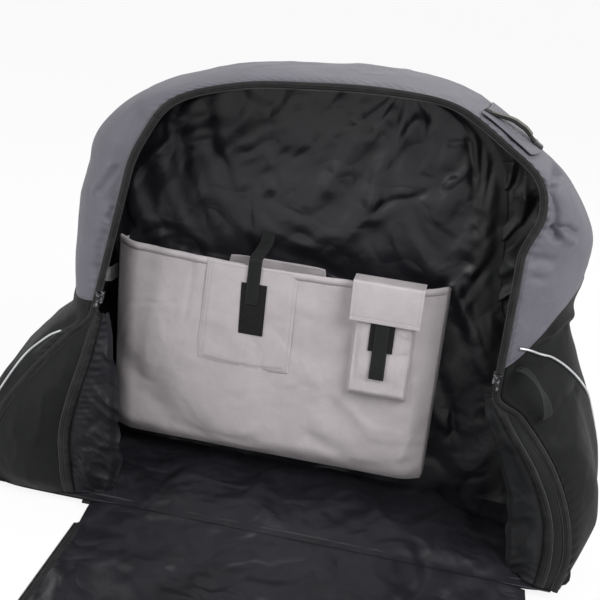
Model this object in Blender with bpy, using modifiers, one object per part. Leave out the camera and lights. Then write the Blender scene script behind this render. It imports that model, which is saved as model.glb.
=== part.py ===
# Soft bike travel bag, standing open: its front wall is unzipped and lies forward on the floor.
# Metres. X runs along the bag, Y from the front to the back and Z up.
# The origin is on the floor, under the centre of the bag's base.

import math

import bmesh
import bpy
from mathutils import Vector

# Driving sizes of the bag's body
BODY_HALF_LENGTH = 0.670
BODY_HEIGHT = 0.960
BACK_Y = 0.140
WIDEST_Y = 0.050
UPPER_FRONT_Y = -0.085
LOWER_FRONT_Y = -0.150
OUTER_THICKNESS = 0.004
LINING_THICKNESS = 0.002
GAP = 0.0003

# Base
SKID_HEIGHT = 0.0162
SKID_WIDTH = 0.018
SKID_SPACING = 0.100
SKID_ROUND = 0.006
SKID_END_MARGIN = 0.040
BOTTOM_THICKNESS = 0.005
BOTTOM_FRONT_LEDGE = 0.006
BOTTOM_END_LEDGE = 0.006
BOTTOM_CORNER = 0.060
BOARD_THICKNESS = 0.004
BOARD_END_MARGIN = 0.040
BOARD_SIDE_MARGIN = 0.008

# Rollers at the left end
ROLLER_RADIUS = 0.031
ROLLER_WIDTH = 0.024
ROLLER_FLOOR_CLEARANCE = 0.003
ROLLER_SPACING = 0.100
ROLLER_REACH = 0.010
ROLLER_GROOVE = 0.0025
ROLLER_ROUND = 0.005
HUB_RADIUS = 0.013
HUB_PROUD = 0.001
AXLE_RADIUS = 0.004
BORE_CLEARANCE = 0.0004
EAR_THICKNESS = 0.004
EAR_CLEARANCE = 0.002
EAR_BOSS_RADIUS = 0.010
EAR_ROOT_CLEARANCE = 0.010
AXLE_HEAD = 0.002
AXLE_HEAD_RADIUS = 0.007
CARRIER_LENGTH = 0.060
CARRIER_HALF_WIDTH = 0.128
CARRIER_THICKNESS = 0.010

# Zip
TRACK_WIDTH = 0.0125
TRACK_THICKNESS = 0.002
SLIDER_LENGTH = 0.026
SLIDER_PLATE = 0.0025
SLIDER_SLOT_CLEARANCE = 0.0006
SLIDER_RIB = 0.003
SLIDER_ABOVE_CLOSED = 0.030
PULL_WIDTH = 0.008
PULL_LENGTH = 0.032
PULL_THICKNESS = 0.002
PULL_EAR = 0.0016
PULL_EAR_GAP = 0.0005
PULL_PIN_RADIUS = 0.0010
PULL_EYE_RADIUS = 0.0024
PULL_EYE_CLEARANCE = 0.0004

# Front wall, opened
FLAP_HINGE_RADIUS = 0.004
FLAP_HINGE_HEIGHT = 0.0165
SEAM_CORD_END_MARGIN = 0.022
FLAP_ROOT_GAP = 0.0005
FLAP_FLOOR_CLEARANCE = 0.0008
FLAP_OUTER_THICKNESS = 0.003
FLAP_RAMP = 0.060
FLAP_SPLIT = 0.440
FLAP_TOP_MARGIN = 0.012
FLAP_EDGE_MARGIN = 0.004
FLAP_NECK_MARGIN = 0.015
FLAP_NECK_BLEND = 0.030

# Wheel pocket on the back wall
POCKET_BOTTOM = 0.080
POCKET_TOP = 0.540
POCKET_LEFT_MARGIN = 0.027
POCKET_RIGHT_MARGIN = 0.094
POCKET_EDGE_Y = 0.060
POCKET_FRONT_Y = 0.035
POCKET_RAMP = 0.045
POCKET_THICKNESS = 0.0025
POCKET_BINDING = 0.006

# Centre pocket, its hook patch and the wheel strap
CENTRE_POCKET_INSET = 0.205
CENTRE_POCKET_WIDTH = 0.192
CENTRE_POCKET_HEIGHT = 0.218
CENTRE_POCKET_BELOW_TOP = 0.022
CENTRE_POCKET_THICKNESS = 0.003
HOOK_PATCH_THICKNESS = 0.002
CENTRE_PATCH_INSET = 0.076
CENTRE_PATCH_WIDTH = 0.054
CENTRE_PATCH_HEIGHT = 0.114
CENTRE_PATCH_BELOW = 0.026
STRAP_WIDTH = 0.028
STRAP_THICKNESS = 0.002
STRAP_END_LENGTH = 0.102
STRAP_SEWN_HEIGHT = 0.040
STRAP_TIP_GAP = 0.0006

# Tool pocket
TOOL_RIGHT_INSET = 0.050
TOOL_WIDTH = 0.134
TOOL_BOTTOM_BELOW_TOP = 0.252
TOOL_DEPTH = 0.030
TOOL_WALL = 0.0025
TOOL_FLAP_OVERHANG = 0.006
TOOL_FLAP_DROP = 0.086
TOOL_PATCH_WIDTH = 0.050
TOOL_PATCH_HEIGHT = 0.062
TOOL_PATCH_BELOW_TOP = 0.078
TOOL_PATCH_INSET = 0.040
TAB_WIDTH = 0.029
TAB_LENGTH = 0.160
TAB_INSET = 0.050
TAB_BELOW_TOP = 0.042

# Hub guard and the blank tag on the back lining
GUARD_WIDTH = 0.214
GUARD_HEIGHT = 0.215
GUARD_TOP_BELOW = 0.028
GUARD_LEFT_INSET = 0.226
GUARD_THICKNESS = 0.003
GUARD_CORNER = 0.020
TAG_REACH = 0.038
TAG_LEAN = 0.0115
TAG_HEIGHT = 0.034
TAG_THICKNESS = 0.001
TAG_MARGIN = 0.009
TAG_ABOVE_SEAM = 0.002

# Handles and piping
GRAB_PATCH_THICKNESS = 0.0016
GRAB_THICKNESS = 0.006
GRAB_RISE = 0.020
LOOP_WIDTH = 0.022
LOOP_THICKNESS = 0.002
LOOP_REACH = 0.046
LOOP_LIFT = 0.011
LOOP_LEAN = math.radians(30)
LOOP_TAB_LENGTH = 0.003
LOOP_TAB_HEIGHT = 0.014
LOOP_TAB_GAP = 0.0003
LOOP_TAB_SEAT = 0.0008
PIPING_RADIUS = 0.0022
PIPING_CLEARANCE = 0.0004

# Outline tables: x as shares of BODY_HALF_LENGTH and z as shares of the height above the base,
# from the left end of the base, up and over the top, to the right end of the base.
BACK_SEAM_SHARES = [
    (-0.896, 0.000), (-0.925, 0.067), (-0.896, 0.158), (-0.836, 0.248), (-0.739, 0.334),
    (-0.657, 0.414), (-0.649, 0.531), (-0.642, 0.638), (-0.615, 0.739), (-0.545, 0.819),
    (-0.418, 0.883), (-0.209, 0.931), (0.007, 0.949), (0.224, 0.952), (0.388, 0.920),
    (0.500, 0.856), (0.545, 0.787), (0.564, 0.723), (0.570, 0.670), (0.575, 0.616),
    (0.582, 0.563), (0.597, 0.499), (0.672, 0.419), (0.776, 0.318), (0.873, 0.206),
    (0.918, 0.094), (0.896, 0.000)]
WIDEST_SHARES = [
    (-0.933, 0.000), (-0.978, 0.072), (-0.955, 0.168), (-0.888, 0.264), (-0.799, 0.344),
    (-0.719, 0.419), (-0.718, 0.542), (-0.712, 0.648), (-0.687, 0.755), (-0.619, 0.845),
    (-0.478, 0.915), (-0.239, 0.973), (0.000, 0.995), (0.239, 1.000), (0.433, 0.973),
    (0.597, 0.904), (0.731, 0.829), (0.813, 0.744), (0.828, 0.686), (0.821, 0.638),
    (0.810, 0.590), (0.806, 0.542), (0.843, 0.456), (0.910, 0.344), (0.970, 0.222),
    (0.985, 0.104), (0.933, 0.000)]
ZIP_EDGE_SHARES = [
    (-0.896, 0.000), (-0.918, 0.072), (-0.873, 0.174), (-0.784, 0.275), (-0.690, 0.360),
    (-0.604, 0.435), (-0.574, 0.538), (-0.544, 0.641), (-0.514, 0.744), (-0.470, 0.829),
    (-0.381, 0.915), (-0.194, 0.963), (0.015, 0.981), (0.224, 0.989), (0.391, 0.979),
    (0.537, 0.920), (0.642, 0.861), (0.669, 0.787), (0.633, 0.691), (0.633, 0.595),
    (0.633, 0.499), (0.633, 0.403), (0.709, 0.366), (0.813, 0.286), (0.881, 0.190),
    (0.910, 0.088), (0.896, 0.000)]
# How far the zip edge reaches towards the lower front, 0 at the upper bag and 1 at the base
FORWARD_SHARES = [
    1.0, 1.0, 0.95, 0.72, 0.30, 0.0, 0.0, 0.0, 0.0, 0.0, 0.0, 0.0, 0.0, 0.0, 0.0,
    0.0, 0.0, 0.0, 0.0, 0.0, 0.0, 0.0, 0.30, 0.72, 0.95, 1.0, 1.0]
# Inner edges of the two front corners, from the base up to the parked sliders
LEFT_MOUTH_SHARES = [
    (-0.612, 0.000), (-0.627, 0.072), (-0.634, 0.158), (-0.615, 0.243), (-0.590, 0.334),
    (-0.573, 0.422)]
RIGHT_MOUTH_SHARES = [
    (0.603, 0.392), (0.664, 0.334), (0.754, 0.257), (0.814, 0.170), (0.834, 0.080),
    (0.828, 0.000)]
MOUTH_BULGE = 0.028
LEFT_ROLL_WIDTHS = [0.085, 0.095, 0.090, 0.070, 0.036, 0.006]
RIGHT_ROLL_WIDTHS = [0.006, 0.036, 0.060, 0.068, 0.070, 0.070]
ROLL_DEPTH = 0.036
ROLL_ROWS = 4
LAST_INDEX = 26
LEFT_SEAM = 5
RIGHT_SEAM = 21
LEFT_SHOULDER_SHARE = 9.5
RIGHT_SHOULDER_SHARE = 15.5
STRAIGHT_RUNS = ((5, 8), (18, 21))
COLUMNS_PER_INDEX = 4
SECTION_ROWS = 6
SLOPE_STEP_SHARE = 0.001
WIDEST_SECTION_SHARE = 0.5
GRAB_COLUMN_SHARES = (14.25, 15.25)
GRAB_PATCH_SECTION_SHARES = (3 / 6, 5 / 6)
GRAB_SECTION_SHARES = ((4 / 6, 5 / 6), (3 / 6, 4 / 6))
GRAB_SIDE_SHARES = (0.2, 0.8)
GRAB_RISE_SHARE = 0.12
GRAB_STEEPNESS = 4
GRAB_STEPS = 16
LOOP_COLUMN_SHARES = (20.75, 22.25)
LOOP_SECTION_SHARES = (5 / 6, 1)
LOOP_STEPS = 20
LOOP_TAB_SHARES = (0.36, 0.64)
PIPING_ROUTE_SHARES = {
    "piping_left": [(4.20, 0.93), (3.98, 0.865), (3.44, 0.81), (2.70, 0.845), (2.40, 0.86),
                    (1.40, 0.86), (0.50, 0.84)],
    "piping_right": [(20.10, 0.938), (20.32, 0.883), (21.10, 0.770), (21.54, 0.722),
                     (21.94, 0.667), (22.40, 0.585), (22.86, 0.490), (23.40, 0.425),
                     (24.20, 0.370), (25.20, 0.340)],
}

# Levels that follow from the sizes above
BOTTOM_TOP_Z = SKID_HEIGHT + GAP + BOTTOM_THICKNESS
RIM_Z = BOTTOM_TOP_Z + GAP
BASE_LINING_TOP = RIM_Z + BOARD_THICKNESS + GAP + LINING_THICKNESS
UPWARD_SPAN = BODY_HEIGHT - RIM_Z
BACK_INNER_Y = BACK_Y - OUTER_THICKNESS - GAP - LINING_THICKNESS
FLAP_HINGE_Y = LOWER_FRONT_Y - BOTTOM_FRONT_LEDGE - GAP - FLAP_HINGE_RADIUS

COLOURS = {
    "grey_fabric": ((0.15, 0.145, 0.165), 0.62, 0.0),
    "black_fabric": ((0.022, 0.023, 0.024), 0.70, 0.0),
    "black_lining": ((0.026, 0.026, 0.031), 0.42, 0.0),
    "pocket_fabric": ((0.46, 0.43, 0.44), 0.50, 0.0),
    "webbing": ((0.020, 0.022, 0.021), 0.75, 0.0),
    "hook_tape": ((0.010, 0.011, 0.011), 0.95, 0.0),
    "reflective": ((0.62, 0.62, 0.64), 0.28, 0.4),
    "zip_tape": ((0.018, 0.018, 0.020), 0.60, 0.0),
    "slider_metal": ((0.04, 0.04, 0.045), 0.32, 0.9),
    "board_plastic": ((0.05, 0.05, 0.05), 0.55, 0.0),
    "skid_plastic": ((0.03, 0.03, 0.03), 0.45, 0.0),
    "roller_rubber": ((0.02, 0.02, 0.02), 0.80, 0.0),
    "axle_steel": ((0.55, 0.55, 0.56), 0.30, 1.0),
    "tag_white": ((0.70, 0.70, 0.70), 0.60, 0.0),
}


# Scene and materials

def clear_scene():
    for thing in list(bpy.data.objects):
        bpy.data.objects.remove(thing, do_unlink=True)


def new_collection(name):
    collection = bpy.data.collections.new(name)
    bpy.context.scene.collection.children.link(collection)
    return collection


def make_material(node_name, colour_name):
    colour, roughness, metallic = COLOURS[colour_name]
    material = bpy.data.materials.new(node_name + "_" + colour_name)
    material.use_nodes = True
    shader = material.node_tree.nodes["Principled BSDF"]
    shader.inputs["Base Color"].default_value = (*colour, 1.0)
    shader.inputs["Roughness"].default_value = roughness
    shader.inputs["Metallic"].default_value = metallic
    return material


def finish_object(name, mesh, colour_name, origin=Vector((0, 0, 0)), smooth_angle=None):
    thing = bpy.data.objects.new(name, mesh)
    thing.location = origin
    parts.objects.link(thing)
    mesh.materials.append(make_material(name, colour_name))
    if smooth_angle is not None:
        mesh.shade_smooth()
        mesh.set_sharp_from_angle(angle=math.radians(smooth_angle))
    return thing


def mesh_from(bm, name, origin):
    bmesh.ops.recalc_face_normals(bm, faces=bm.faces)
    if bm.calc_volume(signed=True) < 0:
        bmesh.ops.reverse_faces(bm, faces=bm.faces)
    bmesh.ops.translate(bm, verts=bm.verts, vec=-origin)
    mesh = bpy.data.meshes.new(name)
    bm.to_mesh(mesh)
    bm.free()
    return mesh


# Shapes

def add_square(bm, a, b, c, d):
    """Two triangles that share the edge from a to c, so that facing sheets bend alike."""
    bm.faces.new((a, b, c))
    bm.faces.new((a, c, d))


def sheet_solid(name, outer, inner, colour_name, origin=Vector((0, 0, 0))):
    """A closed sheet between two lattices of points, such as a loft and its offset."""
    bm = bmesh.new()
    rows = len(outer)
    columns = len(outer[0])
    top = [[bm.verts.new(point) for point in row] for row in outer]
    low = [[bm.verts.new(point) for point in row] for row in inner]
    for r in range(rows - 1):
        for c in range(columns - 1):
            for side in (top, low):
                add_square(bm, side[r][c], side[r][c + 1], side[r + 1][c + 1], side[r + 1][c])
    for r in (0, rows - 1):
        for c in range(columns - 1):
            add_square(bm, top[r][c], top[r][c + 1], low[r][c + 1], low[r][c])
    for c in (0, columns - 1):
        for r in range(rows - 1):
            add_square(bm, top[r][c], top[r + 1][c], low[r + 1][c], low[r][c])
    mesh = mesh_from(bm, name, origin)
    return finish_object(name, mesh, colour_name, origin, smooth_angle=40)


def place_on(axis, along, u, v):
    """The point at u, v on a plane across the axis, for prisms."""
    if axis == "X":
        return Vector((along, u, v))
    if axis == "Y":
        return Vector((u, along, v))
    return Vector((u, v, along))


def add_prism(bm, outline, axis, low, high):
    face = bm.faces.new([bm.verts.new(place_on(axis, low, u, v)) for u, v in outline])
    grown = bmesh.ops.extrude_face_region(bm, geom=[face])
    moved = [item for item in grown["geom"] if isinstance(item, bmesh.types.BMVert)]
    step = place_on(axis, high - low, 0, 0)
    bmesh.ops.translate(bm, verts=moved, vec=step)


def prism(name, outline, axis, low, high, colour_name, origin=Vector((0, 0, 0))):
    bm = bmesh.new()
    add_prism(bm, outline, axis, low, high)
    return finish_object(name, mesh_from(bm, name, origin), colour_name, origin)


def box(name, low, high, colour_name, origin=Vector((0, 0, 0))):
    bm = bmesh.new()
    bmesh.ops.create_cube(bm, size=1)
    low = Vector(low)
    high = Vector(high)
    size = high - low
    for vert in bm.verts:
        vert.co = Vector([low[i] + (vert.co[i] + 0.5) * size[i] for i in range(3)])
    return finish_object(name, mesh_from(bm, name, origin), colour_name, origin)


def add_bevel(thing, width, segments=2, angle=60):
    bevel = thing.modifiers.new("rounded", "BEVEL")
    bevel.width = width
    bevel.segments = segments
    bevel.limit_method = "ANGLE"
    bevel.angle_limit = math.radians(angle)


def make_cutter(thing):
    parts.objects.unlink(thing)
    cutters.objects.link(thing)
    thing.hide_render = True
    thing.display_type = "WIRE"
    return thing


def add_boolean(thing, other, operation):
    boolean = thing.modifiers.new(operation.lower(), "BOOLEAN")
    boolean.operation = operation
    boolean.solver = "EXACT"
    boolean.object = other


def turned(name, profile, centre, colour_name, steps=28):
    """A closed profile of (radius, height) turned about the Y axis through the centre."""
    bm = bmesh.new()
    verts = [bm.verts.new((radius, 0, height)) for radius, height in profile]
    for here, after in zip(verts, verts[1:] + verts[:1]):
        bm.edges.new((here, after))
    mesh = bpy.data.meshes.new(name)
    bm.to_mesh(mesh)
    bm.free()
    thing = finish_object(name, mesh, colour_name, centre)
    thing.rotation_euler = (math.pi / 2, 0, 0)
    screw = thing.modifiers.new("turned", "SCREW")
    screw.angle = 2 * math.pi
    screw.steps = steps
    screw.render_steps = steps
    screw.axis = "Z"
    screw.use_merge_vertices = True
    screw.merge_threshold = 0.0001
    screw.use_smooth_shade = True
    return thing


def tube(name, points, radius, colour_name):
    """A round cord through the points."""
    curve = bpy.data.curves.new(name, "CURVE")
    curve.dimensions = "3D"
    spline = curve.splines.new("POLY")
    spline.points.add(len(points) - 1)
    for spot, point in zip(spline.points, points):
        spot.co = (*point, 1)
    curve.bevel_depth = radius
    curve.bevel_resolution = 2
    curve.use_fill_caps = True
    thing = bpy.data.objects.new(name, curve)
    parts.objects.link(thing)
    curve.materials.append(make_material(name, colour_name))
    return thing


def rounded_rectangle(x0, x1, y0, y1, radius, steps=5):
    corners = [(x1 - radius, y1 - radius, 0), (x0 + radius, y1 - radius, 1),
               (x0 + radius, y0 + radius, 2), (x1 - radius, y0 + radius, 3)]
    points = []
    for cx, cy, quarter in corners:
        for i in range(steps + 1):
            angle = (quarter + i / steps) * math.pi / 2
            points.append((cx + radius * math.cos(angle), cy + radius * math.sin(angle)))
    return points


# The body's pillow shape, read from the outline tables

def table_value(values, t):
    """A smooth curve through the table's values, straight along the two slider runs."""
    last = len(values) - 1
    i = min(int(t), last - 1)
    f = t - i
    slopes = []
    for k in (i, i + 1):
        slope = (values[min(k + 1, last)] - values[max(k - 1, 0)]) / 2
        if k in (0, last):
            slope = slope * 2
        for first, final in STRAIGHT_RUNS:
            if last == LAST_INDEX and first <= k <= final:
                slope = (values[final] - values[first]) / (final - first)
        slopes.append(slope)
    f2 = f * f
    f3 = f2 * f
    return ((2 * f3 - 3 * f2 + 1) * values[i] + (f3 - 2 * f2 + f) * slopes[0]
            + (3 * f2 - 2 * f3) * values[i + 1] + (f3 - f2) * slopes[1])


def outline_point(shares, t, y):
    x = table_value([pair[0] for pair in shares], t) * BODY_HALF_LENGTH
    z = RIM_Z + table_value([pair[1] for pair in shares], t) * UPWARD_SPAN
    return Vector((x, y, z))


def zip_edge(t):
    forward = table_value(FORWARD_SHARES, t)
    y = UPPER_FRONT_Y + forward * (LOWER_FRONT_Y - UPPER_FRONT_Y)
    return outline_point(ZIP_EDGE_SHARES, t, y)


def back_seam(t):
    return outline_point(BACK_SEAM_SHARES, t, BACK_Y)


def body_point(t, s):
    """The outer skin: s runs from the back seam at 0, over the widest line, to the zip at 1."""
    widest = outline_point(WIDEST_SHARES, t, WIDEST_Y)
    if s <= WIDEST_SECTION_SHARE:
        turn = math.pi * s
        back = back_seam(t)
        point = back + (widest - back) * math.sin(turn)
        point.y = BACK_Y + (WIDEST_Y - BACK_Y) * (1 - math.cos(turn))
        return point
    turn = math.pi * (s - WIDEST_SECTION_SHARE)
    front = zip_edge(t)
    point = front + (widest - front) * math.cos(turn)
    point.y = WIDEST_Y + (front.y - WIDEST_Y) * math.sin(turn)
    return point


def column_direction(t, s):
    before = body_point(max(t - SLOPE_STEP_SHARE, 0), s)
    after = body_point(min(t + SLOPE_STEP_SHARE, LAST_INDEX), s)
    return (after - before).normalized()


def body_normal(t, s):
    """Outwards from the skin, and straight forward where it is sewn to the zip."""
    if s == 1:
        return Vector((0, -1, 0))
    before = body_point(t, max(s - SLOPE_STEP_SHARE, 0))
    after = body_point(t, min(s + SLOPE_STEP_SHARE, 1))
    return (after - before).cross(column_direction(t, s)).normalized()


def column_places(t0, t1):
    count = round((t1 - t0) * COLUMNS_PER_INDEX)
    return [t0 + (t1 - t0) * i / count for i in range(count + 1)]


def body_sheet(name, t0, t1, depth, thickness, colour_name, s0=0.0, s1=1.0):
    """A stretch of the gusset, lying depth inside the outer skin and thickness thick."""
    places = column_places(t0, t1)
    rows = round((s1 - s0) * SECTION_ROWS)
    sections = [s0 + (s1 - s0) * j / rows for j in range(rows + 1)]
    outer = []
    inner = []
    for i, t in enumerate(places):
        trim = 0
        if i == 0 and t > 0:
            trim = GAP / 2
        if i == len(places) - 1 and t < LAST_INDEX:
            trim = -GAP / 2
        outer.append([])
        inner.append([])
        for s in sections:
            normal = body_normal(t, s)
            point = body_point(t, s) + column_direction(t, s) * trim
            outer[-1].append(point - normal * depth)
            inner[-1].append(point - normal * (depth + thickness))
    return sheet_solid(name, outer, inner, colour_name)


def in_plane_inward(t):
    """The direction in the front plane from the zip edge to the opening."""
    before = zip_edge(max(t - SLOPE_STEP_SHARE, 0))
    after = zip_edge(min(t + SLOPE_STEP_SHARE, LAST_INDEX))
    along = after - before
    return Vector((along.z, 0, -along.x)).normalized()


# Base, skids and rollers

def base_outline(inset):
    left = outline_point(WIDEST_SHARES, 0, 0).x - BOTTOM_END_LEDGE + inset
    right = outline_point(WIDEST_SHARES, LAST_INDEX, 0).x + BOTTOM_END_LEDGE - inset
    front = LOWER_FRONT_Y - BOTTOM_FRONT_LEDGE + inset
    return rounded_rectangle(left, right, front, BACK_Y - inset, BOTTOM_CORNER - inset)


def make_base():
    prism("bottom_panel", base_outline(0), "Z", SKID_HEIGHT + GAP, BOTTOM_TOP_Z, "black_fabric")
    board_low = RIM_Z
    board_high = board_low + BOARD_THICKNESS
    end = BODY_HALF_LENGTH * BACK_SEAM_SHARES[-1][0] - BOARD_END_MARGIN
    board = rounded_rectangle(-end, end, LOWER_FRONT_Y + OUTER_THICKNESS + BOARD_SIDE_MARGIN,
                              BACK_INNER_Y - BOARD_SIDE_MARGIN, BOARD_END_MARGIN)
    prism("base_board", board, "Z", board_low, board_high, "board_plastic")
    prism("base_lining", board, "Z", board_high + GAP, BASE_LINING_TOP, "black_lining")
    left = -roller_centre_reach() + ROLLER_RADIUS + CARRIER_LENGTH
    right = outline_point(WIDEST_SHARES, LAST_INDEX, 0).x - SKID_END_MARGIN
    rows = {"skid_front": -SKID_SPACING, "skid_centre": 0, "skid_back": SKID_SPACING}
    for name, y in rows.items():
        skid = box(name, (left, y - SKID_WIDTH / 2, 0),
                   (right, y + SKID_WIDTH / 2, SKID_HEIGHT), "skid_plastic")
        add_bevel(skid, SKID_ROUND / 2)


def roller_centre_reach():
    """How far the roller axles lie from the bag's centre."""
    bulge = BODY_HALF_LENGTH * abs(WIDEST_SHARES[1][0])
    return bulge + ROLLER_REACH + ROLLER_RADIUS / 2


def roller_centre(side):
    z = ROLLER_RADIUS + ROLLER_FLOOR_CLEARANCE
    return Vector((-roller_centre_reach(), side * ROLLER_SPACING, z))


def make_roller(name, side):
    centre = roller_centre(side)
    half = ROLLER_WIDTH / 2
    bore = AXLE_RADIUS + BORE_CLEARANCE
    edge = ROLLER_RADIUS - ROLLER_ROUND
    rim = half - ROLLER_ROUND
    profile = [(HUB_RADIUS, half + HUB_PROUD), (HUB_RADIUS, half - ROLLER_GROOVE),
               (edge, half - ROLLER_GROOVE), (edge, half), (ROLLER_RADIUS, rim),
               (ROLLER_RADIUS, -rim), (edge, -half), (edge, ROLLER_GROOVE - half),
               (HUB_RADIUS, ROLLER_GROOVE - half), (HUB_RADIUS, -half - HUB_PROUD),
               (bore, -half - HUB_PROUD), (bore, half + HUB_PROUD)]
    turned(name, profile, centre, "roller_rubber")


def make_axle(name, side):
    centre = roller_centre(side)
    reach = ROLLER_WIDTH / 2 + HUB_PROUD + EAR_CLEARANCE + EAR_THICKNESS + GAP
    tip = reach + AXLE_HEAD
    profile = [(AXLE_HEAD_RADIUS, tip), (AXLE_HEAD_RADIUS, reach), (AXLE_RADIUS, reach),
               (AXLE_RADIUS, -reach), (AXLE_HEAD_RADIUS, -reach), (AXLE_HEAD_RADIUS, -tip)]
    bm = bmesh.new()
    verts = [bm.verts.new((0, 0, tip))]
    verts += [bm.verts.new((radius, 0, height)) for radius, height in profile]
    verts.append(bm.verts.new((0, 0, -tip)))
    for here, after in zip(verts, verts[1:]):
        bm.edges.new((here, after))
    bmesh.ops.spin(bm, geom=bm.verts[:] + bm.edges[:], axis=(0, 0, 1), cent=(0, 0, 0),
                   angle=2 * math.pi, steps=24, use_merge=True)
    bmesh.ops.remove_doubles(bm, verts=bm.verts, dist=GAP / 10)
    bmesh.ops.recalc_face_normals(bm, faces=bm.faces)
    mesh = bpy.data.meshes.new(name)
    bm.to_mesh(mesh)
    bm.free()
    thing = finish_object(name, mesh, "axle_steel", centre, smooth_angle=40)
    thing.rotation_euler = (math.pi / 2, 0, 0)


def ear_outline():
    """Side view of one ear: low under the bag's end, with a boss round the axle."""
    centre = roller_centre(1)
    low = SKID_HEIGHT - CARRIER_THICKNESS
    root = -roller_centre_reach() + ROLLER_RADIUS + EAR_ROOT_CLEARANCE
    points = [(root + CARRIER_LENGTH / 2, low), (root + CARRIER_LENGTH / 2, SKID_HEIGHT),
              (root, SKID_HEIGHT)]
    steps = 8
    for i in range(steps + 1):
        angle = math.radians(60) + math.radians(210) * i / steps
        points.append((centre.x + EAR_BOSS_RADIUS * math.cos(angle),
                       centre.z + EAR_BOSS_RADIUS * math.sin(angle)))
    points.append((centre.x + EAR_BOSS_RADIUS, low))
    return points


def make_roller_carrier():
    """One moulded piece under the bottom's left end, with two ears beside each roller."""
    root = -roller_centre_reach() + ROLLER_RADIUS + EAR_ROOT_CLEARANCE
    carrier = box("roller_carrier", (root, -CARRIER_HALF_WIDTH, SKID_HEIGHT - CARRIER_THICKNESS),
                  (root + CARRIER_LENGTH * 3 / 4, CARRIER_HALF_WIDTH, SKID_HEIGHT), "skid_plastic")
    inner = ROLLER_WIDTH / 2 + HUB_PROUD + EAR_CLEARANCE
    outline = ear_outline()
    for side in (-1, 1):
        y = side * ROLLER_SPACING
        for hand in (-1, 1):
            near = y + hand * inner
            far = y + hand * (inner + EAR_THICKNESS)
            ear = prism("ear", outline, "Y", min(near, far), max(near, far), "skid_plastic")
            add_boolean(carrier, make_cutter(ear), "UNION")
        reach = inner + EAR_THICKNESS * 2
        centre = roller_centre(side)
        hole = prism("axle_hole", circle(centre.x, centre.z, AXLE_RADIUS + GAP), "Y",
                     y - reach, y + reach, "skid_plastic")
        add_boolean(carrier, make_cutter(hole), "DIFFERENCE")


# Body panels

def back_outline(t0, t1, inset):
    """The back seam from t0 to t1, drawn in towards the panel's inside."""
    points = []
    for t in column_places(t0, t1):
        before = back_seam(max(t - SLOPE_STEP_SHARE, 0))
        after = back_seam(min(t + SLOPE_STEP_SHARE, LAST_INDEX))
        along = (after - before).normalized()
        inward = Vector((along.z, 0, -along.x))
        point = back_seam(t) + inward * inset
        points.append((point.x, max(point.z, RIM_Z + GAP)))
    return points


def make_back_wall():
    lower = back_outline(0, LEFT_SEAM, GAP * 2) + back_outline(RIGHT_SEAM, LAST_INDEX, GAP * 2)
    prism("back_wall_lower", lower, "Y", BACK_Y - OUTER_THICKNESS, BACK_Y, "black_fabric")
    upper = back_outline(LEFT_SEAM, RIGHT_SEAM, GAP * 2)
    upper[0] = (upper[0][0], upper[0][1] + GAP * 2)
    upper[-1] = (upper[-1][0], upper[-1][1] + GAP * 2)
    prism("back_wall_upper", upper, "Y", BACK_Y - OUTER_THICKNESS, BACK_Y, "grey_fabric")
    lining = back_outline(0, LAST_INDEX, GAP * 2)
    prism("back_lining", lining, "Y", BACK_INNER_Y, BACK_INNER_Y + LINING_THICKNESS,
          "black_lining")


def make_gusset():
    stretches = [("gusset_left_lower", 0, LEFT_SEAM, "black_fabric"),
                 ("gusset_left_upper", LEFT_SEAM, LEFT_SHOULDER_SHARE, "grey_fabric"),
                 ("gusset_top", LEFT_SHOULDER_SHARE, RIGHT_SHOULDER_SHARE, "grey_fabric"),
                 ("gusset_right_upper", RIGHT_SHOULDER_SHARE, RIGHT_SEAM, "grey_fabric"),
                 ("gusset_right_lower", RIGHT_SEAM, LAST_INDEX, "black_fabric")]
    for name, t0, t1, colour_name in stretches:
        body_sheet(name, t0, t1, 0, OUTER_THICKNESS, colour_name)
    linings = [("lining_left", 0, LEFT_SHOULDER_SHARE),
               ("lining_top", LEFT_SHOULDER_SHARE, RIGHT_SHOULDER_SHARE),
               ("lining_right", RIGHT_SHOULDER_SHARE, LAST_INDEX)]
    for name, t0, t1 in linings:
        body_sheet(name, t0, t1, OUTER_THICKNESS + GAP, LINING_THICKNESS, "black_lining")


def make_front_corner(name, mouth_shares, t0, t1):
    """The part of the front wall that stays zipped to the bag's end, bulging forward."""
    outer = []
    inner = []
    rows = 5
    for t in column_places(t0, t1):
        start = zip_edge(t) + in_plane_inward(t) * (TRACK_WIDTH + GAP * 2)
        end = outline_point(mouth_shares, t - t0, start.y)
        outer.append([])
        inner.append([])
        fullness = (end - start).length / MOUTH_BULGE
        bulge = MOUTH_BULGE * min(1, fullness / 4) * min(1, (start.z - RIM_Z) / MOUTH_BULGE / 2)
        for j in range(rows + 1):
            share = j / rows
            point = start + (end - start) * share
            point.z = max(point.z, RIM_Z)
            point.y -= bulge * math.sin(math.pi * share) ** 2
            outer[-1].append(point)
            inner[-1].append(point + Vector((0, OUTER_THICKNESS, 0)))
    sheet_solid(name, outer, inner, "black_fabric")


# Zip, sliders and pulls

def make_corner_lining(name, mouth_shares, widths, t0, inward):
    """The lining that rolls out of the mouth beside a front corner, down to the base."""
    lowest = BASE_LINING_TOP + GAP
    outer = []
    inner = []
    for t in column_places(0, len(widths) - 1):
        mouth = outline_point(mouth_shares, t, zip_edge(t0 + t).y)
        width = table_value(widths, t)
        outer.append([])
        inner.append([])
        for j in range(ROLL_ROWS + 1):
            share = j / ROLL_ROWS
            point = Vector((mouth.x + inward * (GAP + width * share),
                            mouth.y + ROLL_DEPTH * smooth_share(share) * width / max(widths),
                            max(mouth.z, lowest)))
            outer[-1].append(point)
            inner[-1].append(point + Vector((0, LINING_THICKNESS, 0)))
    sheet_solid(name, outer, inner, "black_lining")


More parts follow.
